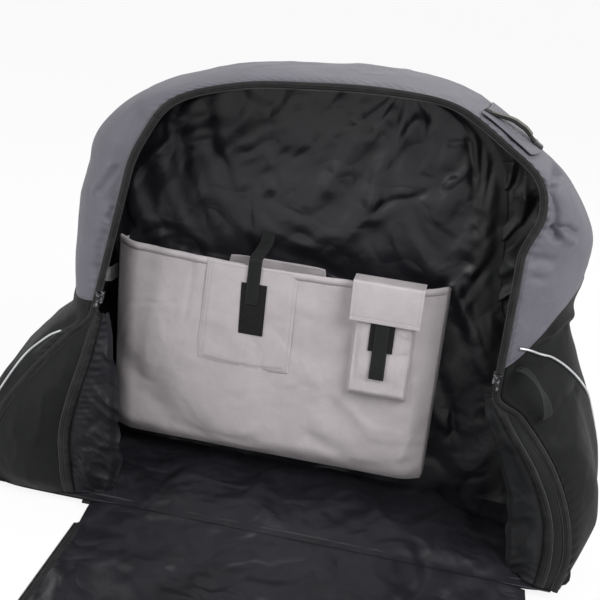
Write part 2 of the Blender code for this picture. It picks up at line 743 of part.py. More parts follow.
def make_zip_track(name, t0, t1):
    outer = []
    inner = []
    places = column_places(t0, t1)
    for i, t in enumerate(places):
        along = (zip_edge(min(t + SLOPE_STEP_SHARE, LAST_INDEX))
                 - zip_edge(max(t - SLOPE_STEP_SHARE, 0))).normalized()
        trim = 0
        if i == 0 and t > 0:
            trim = GAP / 2
        if i == len(places) - 1 and t < LAST_INDEX:
            trim = -GAP / 2
        edge = zip_edge(t) + along * trim
        edge.z = max(edge.z, RIM_Z)
        inward = in_plane_inward(t)
        near = edge + inward * GAP
        far = edge + inward * (GAP + TRACK_WIDTH)
        far.z = max(far.z, RIM_Z)
        outer.append([near, far])
        inner.append([near + Vector((0, TRACK_THICKNESS, 0)),
                      far + Vector((0, TRACK_THICKNESS, 0))])
    sheet_solid(name, outer, inner, "zip_tape")


def slider_frame(t_low, t_high, upward):
    """The slider's centre on the tape, and the directions along and across its travel."""
    low = zip_edge(t_low)
    high = zip_edge(t_high)
    along = (high - low).normalized()
    inward = in_plane_inward((t_low + t_high) / 2)
    centre = low + along * upward + inward * (GAP + TRACK_WIDTH / 2)
    centre.y += TRACK_THICKNESS / 2
    return centre, along, inward


def oriented_prism(bm, outline, centre, across, depth, along, low, high):
    """A prism whose outline lies in the across and depth directions."""
    bottom = [centre + across * u + depth * v + along * low for u, v in outline]
    face = bm.faces.new([bm.verts.new(point) for point in bottom])
    grown = bmesh.ops.extrude_face_region(bm, geom=[face])
    moved = [item for item in grown["geom"] if isinstance(item, bmesh.types.BMVert)]
    bmesh.ops.translate(bm, verts=moved, vec=along * (high - low))


def oriented_object(name, pieces, colour_name, origin):
    bm = bmesh.new()
    for outline, centre, across, depth, along, low, high in pieces:
        oriented_prism(bm, outline, centre, across, depth, along, low, high)
    return finish_object(name, mesh_from(bm, name, origin), colour_name, origin)


def circle(cx, cy, radius, steps=16):
    return [(cx + radius * math.cos(2 * math.pi * i / steps),
             cy + radius * math.sin(2 * math.pi * i / steps)) for i in range(steps)]


def pull_pivot(centre, along):
    """The pull's pin, in front of the slider's front plate."""
    front = TRACK_THICKNESS / 2 + SLIDER_SLOT_CLEARANCE + SLIDER_PLATE
    ahead = front + GAP + PULL_EYE_RADIUS
    return centre - Vector((0, ahead, 0)) + along * SLIDER_LENGTH / 4


def make_slider(side, t_low, t_high):
    centre, along, inward = slider_frame(t_low, t_high, SLIDER_ABOVE_CLOSED)
    front = Vector((0, -1, 0))
    slot = TRACK_THICKNESS / 2 + SLIDER_SLOT_CLEARANCE
    out = slot + SLIDER_PLATE
    lip = TRACK_WIDTH / 2 + SLIDER_SLOT_CLEARANCE
    edge = -TRACK_WIDTH / 2 + SLIDER_RIB
    rib = lip + SLIDER_RIB
    outline = [(edge, slot), (edge, out), (rib, out), (rib, -out), (edge, -out), (edge, -slot),
               (lip, -slot), (lip, slot)]
    half = SLIDER_LENGTH / 2
    body = oriented_object("zip_slider_" + side,
                           [(outline, centre, inward, front, along, -half, half)],
                           "slider_metal", centre)
    pivot = pull_pivot(centre, along)
    lift = PULL_EYE_RADIUS + GAP
    ear_in = PULL_WIDTH / 2 + PULL_EAR_GAP
    ear_out = ear_in + PULL_EAR
    ear = [(-PULL_EYE_RADIUS, -lift - GAP), (PULL_EYE_RADIUS, -lift - GAP),
           (PULL_EYE_RADIUS, 0), (PULL_EYE_RADIUS / 2, PULL_EYE_RADIUS / 2 + GAP),
           (-PULL_EYE_RADIUS / 2, PULL_EYE_RADIUS / 2 + GAP), (-PULL_EYE_RADIUS, 0)]
    pin = circle(0, 0, PULL_PIN_RADIUS, 12)
    pieces = [("ear_a", ear, -ear_out, -ear_in), ("ear_b", ear, ear_in, ear_out),
              ("pin", pin, -ear_in - PULL_EAR / 2, ear_in + PULL_EAR / 2)]
    for name, shape, low, high in pieces:
        extra = oriented_object(name, [(shape, pivot, along, front, inward, low, high)],
                                "slider_metal", pivot)
        add_boolean(body, make_cutter(extra), "UNION")
    make_pull(side, pivot, along, inward, front)


def make_pull(side, pivot, along, inward, front):
    """A flat tab that hangs from an eye round the slider's pin."""
    half = PULL_WIDTH / 2
    down = Vector((0, 0, -1))
    across = inward.cross(down).cross(down).normalized()
    if across.dot(inward) < 0:
        across = -across
    thin = PULL_THICKNESS / 2
    tab = [(-half, -thin), (half, -thin), (half, thin), (-half, thin)]
    pull = oriented_object("zip_pull_" + side,
                           [(circle(0, 0, PULL_EYE_RADIUS), pivot, along, front, inward, -half,
                             half)],
                           "slider_metal", pivot)
    start = PULL_EYE_RADIUS - PULL_THICKNESS / 2
    blade = oriented_object("blade", [(tab, pivot, inward, front, -along, start, PULL_LENGTH)],
                            "slider_metal", pivot)
    add_boolean(pull, make_cutter(blade), "UNION")
    bore = PULL_PIN_RADIUS + PULL_EYE_CLEARANCE
    hole = oriented_object("bore", [(circle(0, 0, bore, 12), pivot, along, front, inward,
                                     -half * 2, half * 2)], "slider_metal", pivot)
    add_boolean(pull, make_cutter(hole), "DIFFERENCE")


# Front wall lying forward, with its hinge seam

def smooth_share(value):
    value = min(max(value, 0), 1)
    return value * value * (3 - 2 * value)


def edge_x_at(shares, first, last, z):
    """The x where an outline's stretch crosses a height."""
    steps = 120
    points = [outline_point(shares, first + (last - first) * i / steps, 0)
              for i in range(steps + 1)]
    for here, after in zip(points, points[1:]):
        if min(here.z, after.z) <= z <= max(here.z, after.z):
            share = (z - here.z) / (after.z - here.z)
            return here.x + (after.x - here.x) * share
    return min(points, key=lambda point: abs(point.z - z)).x


def flap_edges(reach):
    """Left and right edge of the front wall at a distance from its hinge."""
    z = reach + FLAP_HINGE_HEIGHT
    mouth_top = RIM_Z + LEFT_MOUTH_SHARES[-1][1] * UPWARD_SPAN
    neck_left = max(pair[0] for pair in LEFT_MOUTH_SHARES) * -BODY_HALF_LENGTH
    low_left = -(neck_left - FLAP_NECK_MARGIN)
    corner_right = edge_x_at(RIGHT_MOUTH_SHARES, 0, len(RIGHT_MOUTH_SHARES) - 1, z)
    low_right = corner_right - FLAP_NECK_MARGIN
    wide = smooth_share((z - mouth_top - FLAP_NECK_BLEND / 2) / FLAP_NECK_BLEND)
    if wide == 0:
        return low_left, low_right
    high_left = edge_x_at(ZIP_EDGE_SHARES, LEFT_SEAM, LAST_INDEX / 2, z) + FLAP_EDGE_MARGIN
    high_right = edge_x_at(ZIP_EDGE_SHARES, LAST_INDEX / 2, RIGHT_SEAM, z) - FLAP_EDGE_MARGIN
    return (low_left + (high_left - low_left) * wide,
            low_right + (high_right - low_right) * wide)


def flap_level(reach):
    """Height of the front wall's underside: from the hinge seam down to the floor."""
    fall = 1 - smooth_share(reach / FLAP_RAMP)
    rise = FLAP_HINGE_HEIGHT - FLAP_OUTER_THICKNESS - LINING_THICKNESS / 2
    return FLAP_FLOOR_CLEARANCE + fall * (rise - FLAP_FLOOR_CLEARANCE)


def flap_sheet(name, reaches, low, thickness, colour_name):
    hinge = Vector((0, FLAP_HINGE_Y, FLAP_HINGE_HEIGHT))
    under = []
    over = []
    for reach in reaches:
        left, right = flap_edges(reach)
        level = flap_level(reach) + low
        row = [Vector((x, FLAP_HINGE_Y - reach, level)) for x in (left, right)]
        under.append(row)
        over.append([point + Vector((0, 0, thickness)) for point in row])
    sheet_solid(name, over, under, colour_name, hinge)


def flap_reaches(start, end, count):
    return [start + (end - start) * i / count for i in range(count + 1)]


def make_front_flap():
    root = FLAP_HINGE_RADIUS + FLAP_ROOT_GAP
    top = RIM_Z + UPWARD_SPAN * max(pair[1] for pair in ZIP_EDGE_SHARES)
    end = top - FLAP_HINGE_HEIGHT - FLAP_TOP_MARGIN * 2
    ramp = flap_reaches(root, FLAP_RAMP, 4)
    lower = ramp[:-1] + flap_reaches(FLAP_RAMP, FLAP_SPLIT - GAP, 14)
    upper = flap_reaches(FLAP_SPLIT, end, 20)
    flap_sheet("front_flap_lower", lower, 0, FLAP_OUTER_THICKNESS, "black_fabric")
    flap_sheet("front_flap_upper", upper, 0, FLAP_OUTER_THICKNESS, "grey_fabric")
    flap_sheet("front_flap_lining", lower + upper[1:], FLAP_OUTER_THICKNESS + GAP,
               LINING_THICKNESS, "black_lining")
    make_flap_track(lower + upper[1:])
    left = BODY_HALF_LENGTH * LEFT_MOUTH_SHARES[0][0] + SEAM_CORD_END_MARGIN
    right = BODY_HALF_LENGTH * RIGHT_MOUTH_SHARES[-1][0] - SEAM_CORD_END_MARGIN
    seam = [(left, FLAP_HINGE_Y, FLAP_HINGE_HEIGHT), (right, FLAP_HINGE_Y, FLAP_HINGE_HEIGHT)]
    tube("front_seam_cord", seam, FLAP_HINGE_RADIUS, "black_fabric")


def make_flap_track(reaches):
    """The other half of the zip, sewn round the front wall's edge."""
    reaches = [reach for reach in reaches if reach > FLAP_RAMP]
    left_side = [Vector((flap_edges(reach)[0], FLAP_HINGE_Y - reach, 0)) for reach in reaches]
    right_side = [Vector((flap_edges(reach)[1], FLAP_HINGE_Y - reach, 0)) for reach in reaches]
    path = left_side + right_side[::-1]
    level = FLAP_FLOOR_CLEARANCE
    outer = []
    inner = []
    for i, point in enumerate(path):
        before = path[max(i - 1, 0)]
        after = path[min(i + 1, len(path) - 1)]
        along = (after - before).normalized()
        out = Vector((along.y, -along.x, 0))
        near = point + out * GAP + Vector((0, 0, level))
        far = point + out * (GAP + TRACK_WIDTH) + Vector((0, 0, level))
        outer.append([near + Vector((0, 0, TRACK_THICKNESS)),
                      far + Vector((0, 0, TRACK_THICKNESS))])
        inner.append([near, far])
    origin = Vector((0, FLAP_HINGE_Y, FLAP_HINGE_HEIGHT))
    sheet_solid("zip_track_flap", outer, inner, "zip_tape", origin)


# Wheel pocket and what is sewn on it

def back_x_at(z, right_side):
    if right_side:
        return edge_x_at(BACK_SEAM_SHARES, LAST_INDEX / 2, LAST_INDEX, z)
    return edge_x_at(BACK_SEAM_SHARES, 0, LAST_INDEX / 2, z)


def pocket_ends():
    left = back_x_at(POCKET_TOP, False) + POCKET_LEFT_MARGIN
    right = back_x_at(POCKET_TOP, True) - POCKET_RIGHT_MARGIN
    return left, right


def pocket_y(x, z):
    left, right = pocket_ends()
    fullness = 1
    for distance in (x - left, right - x, z - POCKET_BOTTOM):
        fullness *= math.sin(min(max(distance / POCKET_RAMP, 0), 1) * math.pi / 2)
    return POCKET_EDGE_Y - (POCKET_EDGE_Y - POCKET_FRONT_Y) * fullness


def pocket_columns():
    left, right = pocket_ends()
    ramp = [POCKET_RAMP * share for share in (0, 0.15, 0.35, 0.6, 1)]
    middle = 4
    flat = right - left - 2 * POCKET_RAMP
    inside = [left + POCKET_RAMP + flat * i / middle for i in range(1, middle)]
    return [left + d for d in ramp] + inside + [right - d for d in reversed(ramp)]


def make_wheel_pocket():
    columns = pocket_columns()
    rises = [POCKET_RAMP * share for share in (0, 0.15, 0.35, 0.6, 1)]
    levels = [POCKET_BOTTOM + rise for rise in rises] + [POCKET_TOP]
    back = [[Vector((x, pocket_y(x, z) + POCKET_THICKNESS, z)) for x in columns]
            for z in levels]
    front = [[Vector((x, pocket_y(x, z), z)) for x in columns] for z in levels]
    sheet_solid("wheel_pocket_front", front, back, "pocket_fabric")
    left, right = pocket_ends()
    wall = POCKET_THICKNESS
    shape = [(left, POCKET_TOP), (left, POCKET_BOTTOM), (right, POCKET_BOTTOM),
             (right, POCKET_TOP), (right - wall, POCKET_TOP),
             (right - wall, POCKET_BOTTOM + wall), (left + wall, POCKET_BOTTOM + wall),
             (left + wall, POCKET_TOP)]
    prism("wheel_pocket_gusset", shape, "Y", POCKET_EDGE_Y + POCKET_THICKNESS + GAP,
          BACK_INNER_Y - GAP, "pocket_fabric")
    low = POCKET_TOP + GAP
    lines = []
    for y_shift in (-GAP, POCKET_THICKNESS + GAP):
        lines.append([[Vector((x, pocket_y(x, POCKET_TOP) + y_shift, z)) for x in columns]
                      for z in (low, low + POCKET_BINDING)])
    sheet_solid("pocket_top_binding", lines[0], lines[1], "pocket_fabric")


def centre_pocket_corner():
    return pocket_ends()[0] + CENTRE_POCKET_INSET, POCKET_TOP - CENTRE_POCKET_BELOW_TOP


def make_centre_pocket():
    left, top = centre_pocket_corner()
    back_y = POCKET_FRONT_Y - GAP
    front_y = back_y - CENTRE_POCKET_THICKNESS
    shape = rounded_rectangle(left, left + CENTRE_POCKET_WIDTH, top - CENTRE_POCKET_HEIGHT, top,
                              CENTRE_POCKET_THICKNESS, 2)
    prism("centre_pocket", shape, "Y", front_y, back_y, "pocket_fabric")
    patch_left = left + CENTRE_PATCH_INSET
    patch_top = top - CENTRE_PATCH_BELOW
    box("centre_hook_patch", (patch_left, front_y - GAP - HOOK_PATCH_THICKNESS,
                              patch_top - CENTRE_PATCH_HEIGHT),
        (patch_left + CENTRE_PATCH_WIDTH, front_y - GAP, patch_top), "hook_tape")
    make_wheel_strap(patch_left + CENTRE_PATCH_WIDTH / 2, front_y - GAP - HOOK_PATCH_THICKNESS)


def make_wheel_strap(x, patch_front_y):
    """A fixed stretch from the back lining to the pocket's mouth, and the end that peels up."""
    half = STRAP_WIDTH / 2
    back_y = BACK_INNER_Y - GAP
    low = POCKET_TOP + GAP * 2 + POCKET_BINDING
    high = low + STRAP_THICKNESS
    end_front = patch_front_y - GAP - STRAP_THICKNESS
    end_back = patch_front_y - GAP
    pivot_y = (end_front + end_back) / 2
    tip = pivot_y + STRAP_THICKNESS / 2 + STRAP_TIP_GAP
    top = high + STRAP_SEWN_HEIGHT
    root = [(tip, low), (back_y, low), (back_y, top), (back_y - STRAP_THICKNESS, top),
            (back_y - STRAP_THICKNESS, high), (tip, high)]
    prism("wheel_strap_root", root, "X", x - half, x + half, "webbing")
    origin = Vector((x, pivot_y, (low + high) / 2))
    box("wheel_strap_end", (x - half, end_front, origin.z - STRAP_END_LENGTH),
        (x + half, end_back, origin.z), "webbing", origin)


def tool_pocket_frame():
    right = pocket_ends()[1] - TOOL_RIGHT_INSET
    return right - TOOL_WIDTH, right


def make_tool_pocket():
    left, right = tool_pocket_frame()
    back_y = POCKET_FRONT_Y - GAP
    front_y = back_y - TOOL_DEPTH
    bottom = POCKET_TOP - TOOL_BOTTOM_BELOW_TOP
    body = box("tool_pocket_body", (left, front_y, bottom), (right, back_y, POCKET_TOP),
               "pocket_fabric")
    hollow = box("tool_hollow", (left + TOOL_WALL, front_y + TOOL_WALL, bottom + TOOL_WALL),
                 (right - TOOL_WALL, back_y + TOOL_WALL, POCKET_TOP + TOOL_WALL),
                 "pocket_fabric")
    add_boolean(body, make_cutter(hollow), "DIFFERENCE")
    patch_left = left + TOOL_PATCH_INSET
    patch_top = POCKET_TOP - TOOL_PATCH_BELOW_TOP
    patch_front = front_y - GAP - HOOK_PATCH_THICKNESS
    box("tool_hook_patch", (patch_left, patch_front, patch_top - TOOL_PATCH_HEIGHT),
        (patch_left + TOOL_PATCH_WIDTH, front_y - GAP, patch_top), "hook_tape")
    make_tool_flap(left, right, patch_front)


def make_tool_flap(left, right, patch_front):
    """The lid over the tool pocket, with the tab that holds it shut."""
    thickness = POCKET_THICKNESS
    tab_back = patch_front - GAP
    tab_front = tab_back - STRAP_THICKNESS
    skin_back = tab_front - GAP
    skin_front = skin_back - thickness
    low = POCKET_TOP + GAP * 2 + POCKET_BINDING
    high = low + thickness
    hinge_y = POCKET_FRONT_Y - GAP
    origin = Vector(((left + right) / 2, hinge_y, (low + high) / 2))
    shape = [(hinge_y, low), (hinge_y, high), (skin_front, high),
             (skin_front, high - TOOL_FLAP_DROP), (skin_back, high - TOOL_FLAP_DROP),
             (skin_back, low)]
    prism("tool_pocket_flap", shape, "X", left - TOOL_FLAP_OVERHANG, right + TOOL_FLAP_OVERHANG,
          "pocket_fabric", origin)
    tab_left = left + TAB_INSET
    tab_top = POCKET_TOP - TAB_BELOW_TOP
    box("tool_flap_tab", (tab_left, tab_front, tab_top - TAB_LENGTH),
        (tab_left + TAB_WIDTH, tab_back, tab_top), "webbing", origin)


def make_back_details():
    left = pocket_ends()[0] + GUARD_LEFT_INSET
    top = POCKET_TOP - GUARD_TOP_BELOW
    shape = rounded_rectangle(left, left + GUARD_WIDTH, top - GUARD_HEIGHT, top, GUARD_CORNER)
    prism("hub_guard", shape, "Y", BACK_INNER_Y - GAP - GUARD_THICKNESS, BACK_INNER_Y - GAP,
          "pocket_fabric")
    make_tag()


def make_tag():
    """A small blank tag that stands forward from the back lining at the bag's left end."""
    low = back_seam(LEFT_SEAM).z + TAG_ABOVE_SEAM
    left = back_x_at(low, False) + TAG_MARGIN
    back = []
    front = []
    for height in (low, low + TAG_HEIGHT):
        root = Vector((left, BACK_INNER_Y - GAP, height))
        back.append([root, root - Vector((TAG_LEAN, TAG_REACH, 0))])
        front.append([point + Vector((TAG_THICKNESS, 0, 0)) for point in back[-1]])
    sheet_solid("blank_tag", back, front, "tag_white")


# Handles and piping

def make_grab_handle():
    """A padded carry handle on the right shoulder, over a sewn patch."""
    t0, t1 = GRAB_COLUMN_SHARES
    patch_out = GAP + GRAB_PATCH_THICKNESS
    body_sheet("grab_handle_patch", t0, t1, -patch_out, GRAB_PATCH_THICKNESS, "black_fabric",
               *GRAB_PATCH_SECTION_SHARES)
    outer = []
    inner = []
    for i in range(GRAB_STEPS + 1):
        share = i / GRAB_STEPS
        t = t0 + (t1 - t0) * share
        rise = (GRAB_RISE * smooth_share((share - GRAB_RISE_SHARE) * GRAB_STEEPNESS)
                * smooth_share((1 - GRAB_RISE_SHARE - share) * GRAB_STEEPNESS))
        s0, s1 = (first + (last - first) * share for first, last in zip(*GRAB_SECTION_SHARES))
        near = body_point(t, s0)
        far = body_point(t, s1)
        near_normal = body_normal(t, s0)
        far_normal = body_normal(t, s1)
        foot = patch_out + GAP
        outer.append([])
        inner.append([])
        for side in GRAB_SIDE_SHARES:
            point = near + (far - near) * side
            normal = (near_normal + (far_normal - near_normal) * side).normalized()
            inner[-1].append(point + normal * (foot + rise))
            outer[-1].append(point + normal * (foot + rise + GRAB_THICKNESS))
    sheet_solid("grab_handle", outer, inner, "webbing")


def loop_ends():
    s0, s1 = LOOP_SECTION_SHARES
    ends = []
    for t in LOOP_COLUMN_SHARES:
        ends.append((body_point(t, s0) + body_point(t, s1)) / 2)
    t_middle = sum(LOOP_COLUMN_SHARES) / 2
    outward = body_normal(t_middle, (s0 + s1) / 2)
    along = (ends[1] - ends[0]).normalized()
    outward = (outward - along * outward.dot(along)).normalized()
    return ends[0], ends[1], along, outward


def make_side_handle():
    """A webbing loop on the bag's right end, held between two sewn tabs."""
    first, last, along, normal = loop_ends()
    outward = normal * math.cos(LOOP_LEAN) - along.cross(normal) * math.sin(LOOP_LEAN)
    across = along.cross(outward).normalized()
    half_span = (last - first).length / 2
    origin = (first + last) / 2 + normal * LOOP_LIFT
    outer = []
    inner = []
    for i in range(LOOP_STEPS + 1):
        turn = math.pi * i / LOOP_STEPS
        points = []
        for grow in (0, LOOP_THICKNESS):
            span = half_span - LOOP_THICKNESS + grow
            reach = LOOP_REACH - LOOP_THICKNESS + grow
            points.append(origin - along * span * math.cos(turn)
                          + outward * reach * math.sin(turn))
        inner.append([points[0] + across * LOOP_WIDTH / 2, points[0] - across * LOOP_WIDTH / 2])
        outer.append([points[1] + across * LOOP_WIDTH / 2, points[1] - across * LOOP_WIDTH / 2])
    sheet_solid("side_handle", outer, inner, "webbing", origin)
    make_loop_tab("side_handle_tab_upper", LOOP_COLUMN_SHARES[0], -1)
    make_loop_tab("side_handle_tab_lower", LOOP_COLUMN_SHARES[1], 1)


def make_loop_tab(name, t, side):
    """A tab that stands on the skin just beyond one foot of the loop."""
    first, last, along, outward = loop_ends()
    middle = (first + last) / 2
    s0, s1 = LOOP_SECTION_SHARES
    t_next = t + side / COLUMNS_PER_INDEX
    near = (last - first).length / 2 + LOOP_TAB_GAP
    held = s1 if side > 0 else s0
    step = (body_point(t_next, held) - body_point(t, held)).normalized()
    top = []
    low = []
    for share in LOOP_TAB_SHARES:
        edge = body_point(t, s0).lerp(body_point(t, s1), share)
        top.append([])
        low.append([])
        for reach in (near, near + LOOP_TAB_LENGTH):
            ahead = (side * reach - (edge - middle).dot(along)) / step.dot(along)
            foot = edge + step * ahead
            low[-1].append(foot + outward * LOOP_TAB_SEAT)
            top[-1].append(foot + outward * (LOOP_TAB_SEAT + LOOP_TAB_HEIGHT))
    sheet_solid(name, top, low, "webbing")


def facet_point(t, s):
    """The point at t, s on the flat triangles that the gusset's outer skin is made of."""
    along = t * COLUMNS_PER_INDEX
    around = s * SECTION_ROWS
    row = min(math.floor(along), LAST_INDEX * COLUMNS_PER_INDEX - 1)
    column = min(math.floor(around), SECTION_ROWS - 1)
    ahead = along - row
    over = around - column
    first, next_row = row / COLUMNS_PER_INDEX, (row + 1) / COLUMNS_PER_INDEX
    low, high = column / SECTION_ROWS, (column + 1) / SECTION_ROWS
    near = body_point(first, low)
    far = body_point(next_row, high)
    if over >= ahead:
        corner = body_point(first, high)
        return near + (corner - near) * over + (far - corner) * ahead
    corner = body_point(next_row, low)
    return near + (corner - near) * ahead + (far - corner) * over


def facet_crossings(start, end):
    """The shares of the way from start to end, both t and s, at which facets' edges lie."""
    places = {0.0, 1.0}
    for along, around in ((COLUMNS_PER_INDEX, 0), (0, SECTION_ROWS),
                          (COLUMNS_PER_INDEX, -SECTION_ROWS)):
        first = start[0] * along + start[1] * around
        last = end[0] * along + end[1] * around
        for edge in range(math.ceil(min(first, last)), math.floor(max(first, last)) + 1):
            if last != first:
                places.add((edge - first) / (last - first))
    return sorted(places)


def make_piping():
    """Reflective cord sewn over the shoulders of both black ends."""
    lift = PIPING_RADIUS + PIPING_CLEARANCE
    for name, route in PIPING_ROUTE_SHARES.items():
        points = []
        for start, end in zip(route, route[1:]):
            for share in facet_crossings(start, end):
                t = start[0] + (end[0] - start[0]) * share
                s = start[1] + (end[1] - start[1]) * share
                point = facet_point(t, s) + body_normal(t, s) * lift
                if not points or (point - points[-1]).length > PIPING_RADIUS:
                    points.append(point)
        tube(name, points, PIPING_RADIUS, "reflective")


clear_scene()
parts = new_collection("bike_travel_bag")
cutters = new_collection("cutters")

make_base()
make_roller_carrier()
for label, hand in (("front", -1), ("back", 1)):
    make_roller("roller_" + label, hand)
    make_axle("roller_axle_" + label, hand)
make_back_wall()
make_gusset()
make_front_corner("front_corner_left", LEFT_MOUTH_SHARES, 0, LEFT_SEAM)
make_front_corner("front_corner_right", RIGHT_MOUTH_SHARES, RIGHT_SEAM, LAST_INDEX)
make_corner_lining("corner_lining_left", LEFT_MOUTH_SHARES, LEFT_ROLL_WIDTHS, 0, 1)
make_corner_lining("corner_lining_right", RIGHT_MOUTH_SHARES, RIGHT_ROLL_WIDTHS, RIGHT_SEAM, -1)
make_zip_track("zip_track_left", 0, LEFT_SHOULDER_SHARE)
make_zip_track("zip_track_top", LEFT_SHOULDER_SHARE, RIGHT_SHOULDER_SHARE)
make_zip_track("zip_track_right", RIGHT_SHOULDER_SHARE, LAST_INDEX)
make_slider("left", LEFT_SEAM, LEFT_SEAM + 3)
make_slider("right", RIGHT_SEAM, RIGHT_SEAM - 3)
make_front_flap()
make_wheel_pocket()
make_centre_pocket()
make_tool_pocket()
make_back_details()
make_grab_handle()
make_side_handle()
make_piping()
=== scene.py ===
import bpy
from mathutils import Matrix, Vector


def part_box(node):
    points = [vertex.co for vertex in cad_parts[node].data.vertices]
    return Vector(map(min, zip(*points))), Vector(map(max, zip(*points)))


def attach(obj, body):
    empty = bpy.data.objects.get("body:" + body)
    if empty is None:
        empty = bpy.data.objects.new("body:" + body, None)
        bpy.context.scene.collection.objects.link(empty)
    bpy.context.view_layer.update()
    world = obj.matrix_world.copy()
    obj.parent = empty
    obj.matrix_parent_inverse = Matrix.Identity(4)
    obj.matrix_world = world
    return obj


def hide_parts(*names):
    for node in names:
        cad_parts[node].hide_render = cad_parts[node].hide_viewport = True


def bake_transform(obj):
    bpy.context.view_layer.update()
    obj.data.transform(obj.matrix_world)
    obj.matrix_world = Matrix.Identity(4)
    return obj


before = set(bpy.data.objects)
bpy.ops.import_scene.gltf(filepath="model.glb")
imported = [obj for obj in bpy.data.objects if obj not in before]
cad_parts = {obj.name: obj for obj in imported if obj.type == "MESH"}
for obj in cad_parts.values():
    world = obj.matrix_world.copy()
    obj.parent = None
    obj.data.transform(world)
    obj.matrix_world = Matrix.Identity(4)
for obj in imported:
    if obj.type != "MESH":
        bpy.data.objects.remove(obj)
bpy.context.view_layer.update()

import math

import bmesh
import bpy
import numpy as np
from mathutils import Matrix, Vector

print("frame loaded")

# the camera at the photograph's viewing angle: metres, and a 36 mm wide sensor
shot = {"from": (0.3511, -2.0278, 1.3378), "at": (-0.010, 0.085, 0.450), "roll": 5.8, "lens": 66.0}

camera = bpy.data.objects.new("camera", bpy.data.cameras.new("camera"))
bpy.context.scene.collection.objects.link(camera)
camera.data.lens = shot["lens"]
camera.data.sensor_width = 36
camera.location = shot["from"]
looking = (Vector(shot["at"]) - Vector(shot["from"])).to_track_quat("-Z", "Y").to_matrix()
camera.rotation_euler = (looking @ Matrix.Rotation(math.radians(shot["roll"]), 3, "Z")).to_euler()
bpy.context.scene.camera = camera


# shader maths written as sums: a wire wraps one socket
class Wire:
    def __init__(self, paint, socket):
        self.paint = paint
        self.socket = socket

    def __add__(self, other):
        return self.paint.maths("ADD", self, other)

    def __radd__(self, other):
        return self.paint.maths("ADD", other, self)

    def __sub__(self, other):
        return self.paint.maths("SUBTRACT", self, other)

    def __rsub__(self, other):
        return self.paint.maths("SUBTRACT", other, self)

    def __mul__(self, other):
        return self.paint.maths("MULTIPLY", self, other)

    def __rmul__(self, other):
        return self.paint.maths("MULTIPLY", other, self)

    def __lt__(self, other):
        return self.paint.maths("LESS_THAN", self, other)

    def __abs__(self):
        return self.paint.maths("ABSOLUTE", self)


class Paint:
    def __init__(self, name, world=None):
        self.material = world or bpy.data.materials.new(name)
        self.material.use_nodes = True
        self.tree = self.material.node_tree
        self.tree.nodes.clear()

    def node(self, kind, settings=None, inputs=None, output=0):
        made = self.tree.nodes.new(kind)
        for key, value in (settings or {}).items():
            setattr(made, key, value)
        for key, value in (inputs or {}).items():
            if isinstance(value, Wire):
                self.tree.links.new(value.socket, made.inputs[key])
            elif made.inputs[key].type == "RGBA":
                made.inputs[key].default_value = (*value[:3], 1)
            else:
                made.inputs[key].default_value = value
        return Wire(self, made.outputs[output])

    def maths(self, operation, *values):
        return self.node("ShaderNodeMath", {"operation": operation}, dict(enumerate(values)))

    def mix(self, share, first, second):
        return self.node("ShaderNodeMix", {"data_type": "RGBA"}, {0: share, 6: first, 7: second},
                         output=2)

    def scaled(self, vector, factors):
        return self.node("ShaderNodeVectorMath", {"operation": "MULTIPLY"},
                         {0: vector, 1: factors})

    def place(self):
        return self.node("ShaderNodeTexCoord", output="Object")

    def cloth(self):
        return self.node("ShaderNodeUVMap", {"uv_map": "cloth"})

    def clouds(self, vector, scale, detail=2.0, rough=0.5, bend=0.0):
        return self.node("ShaderNodeTexNoise", None,
                         {"Vector": vector, "Scale": scale, "Detail": detail,
                          "Roughness": rough, "Distortion": bend})

    def cells(self, vector, scale, feature="F1"):
        return self.node("ShaderNodeTexVoronoi", {"feature": feature},
                         {"Vector": vector, "Scale": scale}, output="Distance")

    def smooth(self, value, low, high):
        return self.node("ShaderNodeMapRange", {"interpolation_type": "SMOOTHSTEP"},
                         {0: value, 1: low, 2: high, 3: 0.0, 4: 1.0})

    def bump(self, height, distance, strength=1.0, under=None):
        inputs = {"Height": height, "Distance": distance, "Strength": strength}
        if under is not None:
            inputs["Normal"] = under
        return self.node("ShaderNodeBump", None, inputs)

    def finish(self, colour, roughness, normal=None, **fixed):
        inputs = {"Base Color": colour, "Roughness": roughness}
        if normal is not None:
            inputs["Normal"] = normal
        for key, value in fixed.items():
            inputs[key.replace("_", " ")] = value
        self.close(self.node("ShaderNodeBsdfPrincipled", None, inputs))
        return self.material

    def close(self, shader, output="ShaderNodeOutputMaterial"):
        last = self.tree.nodes.new(output)
        self.tree.links.new(shader.socket, last.inputs["Surface"])

    def backdropRays(self):
        camera, glossy, through = [self.node("ShaderNodeLightPath", output="Is " + kind + " Ray")
                                   for kind in ("Camera", "Glossy", "Transmission")]
        return self.maths("MAXIMUM", self.maths("MAXIMUM", camera, glossy), through)


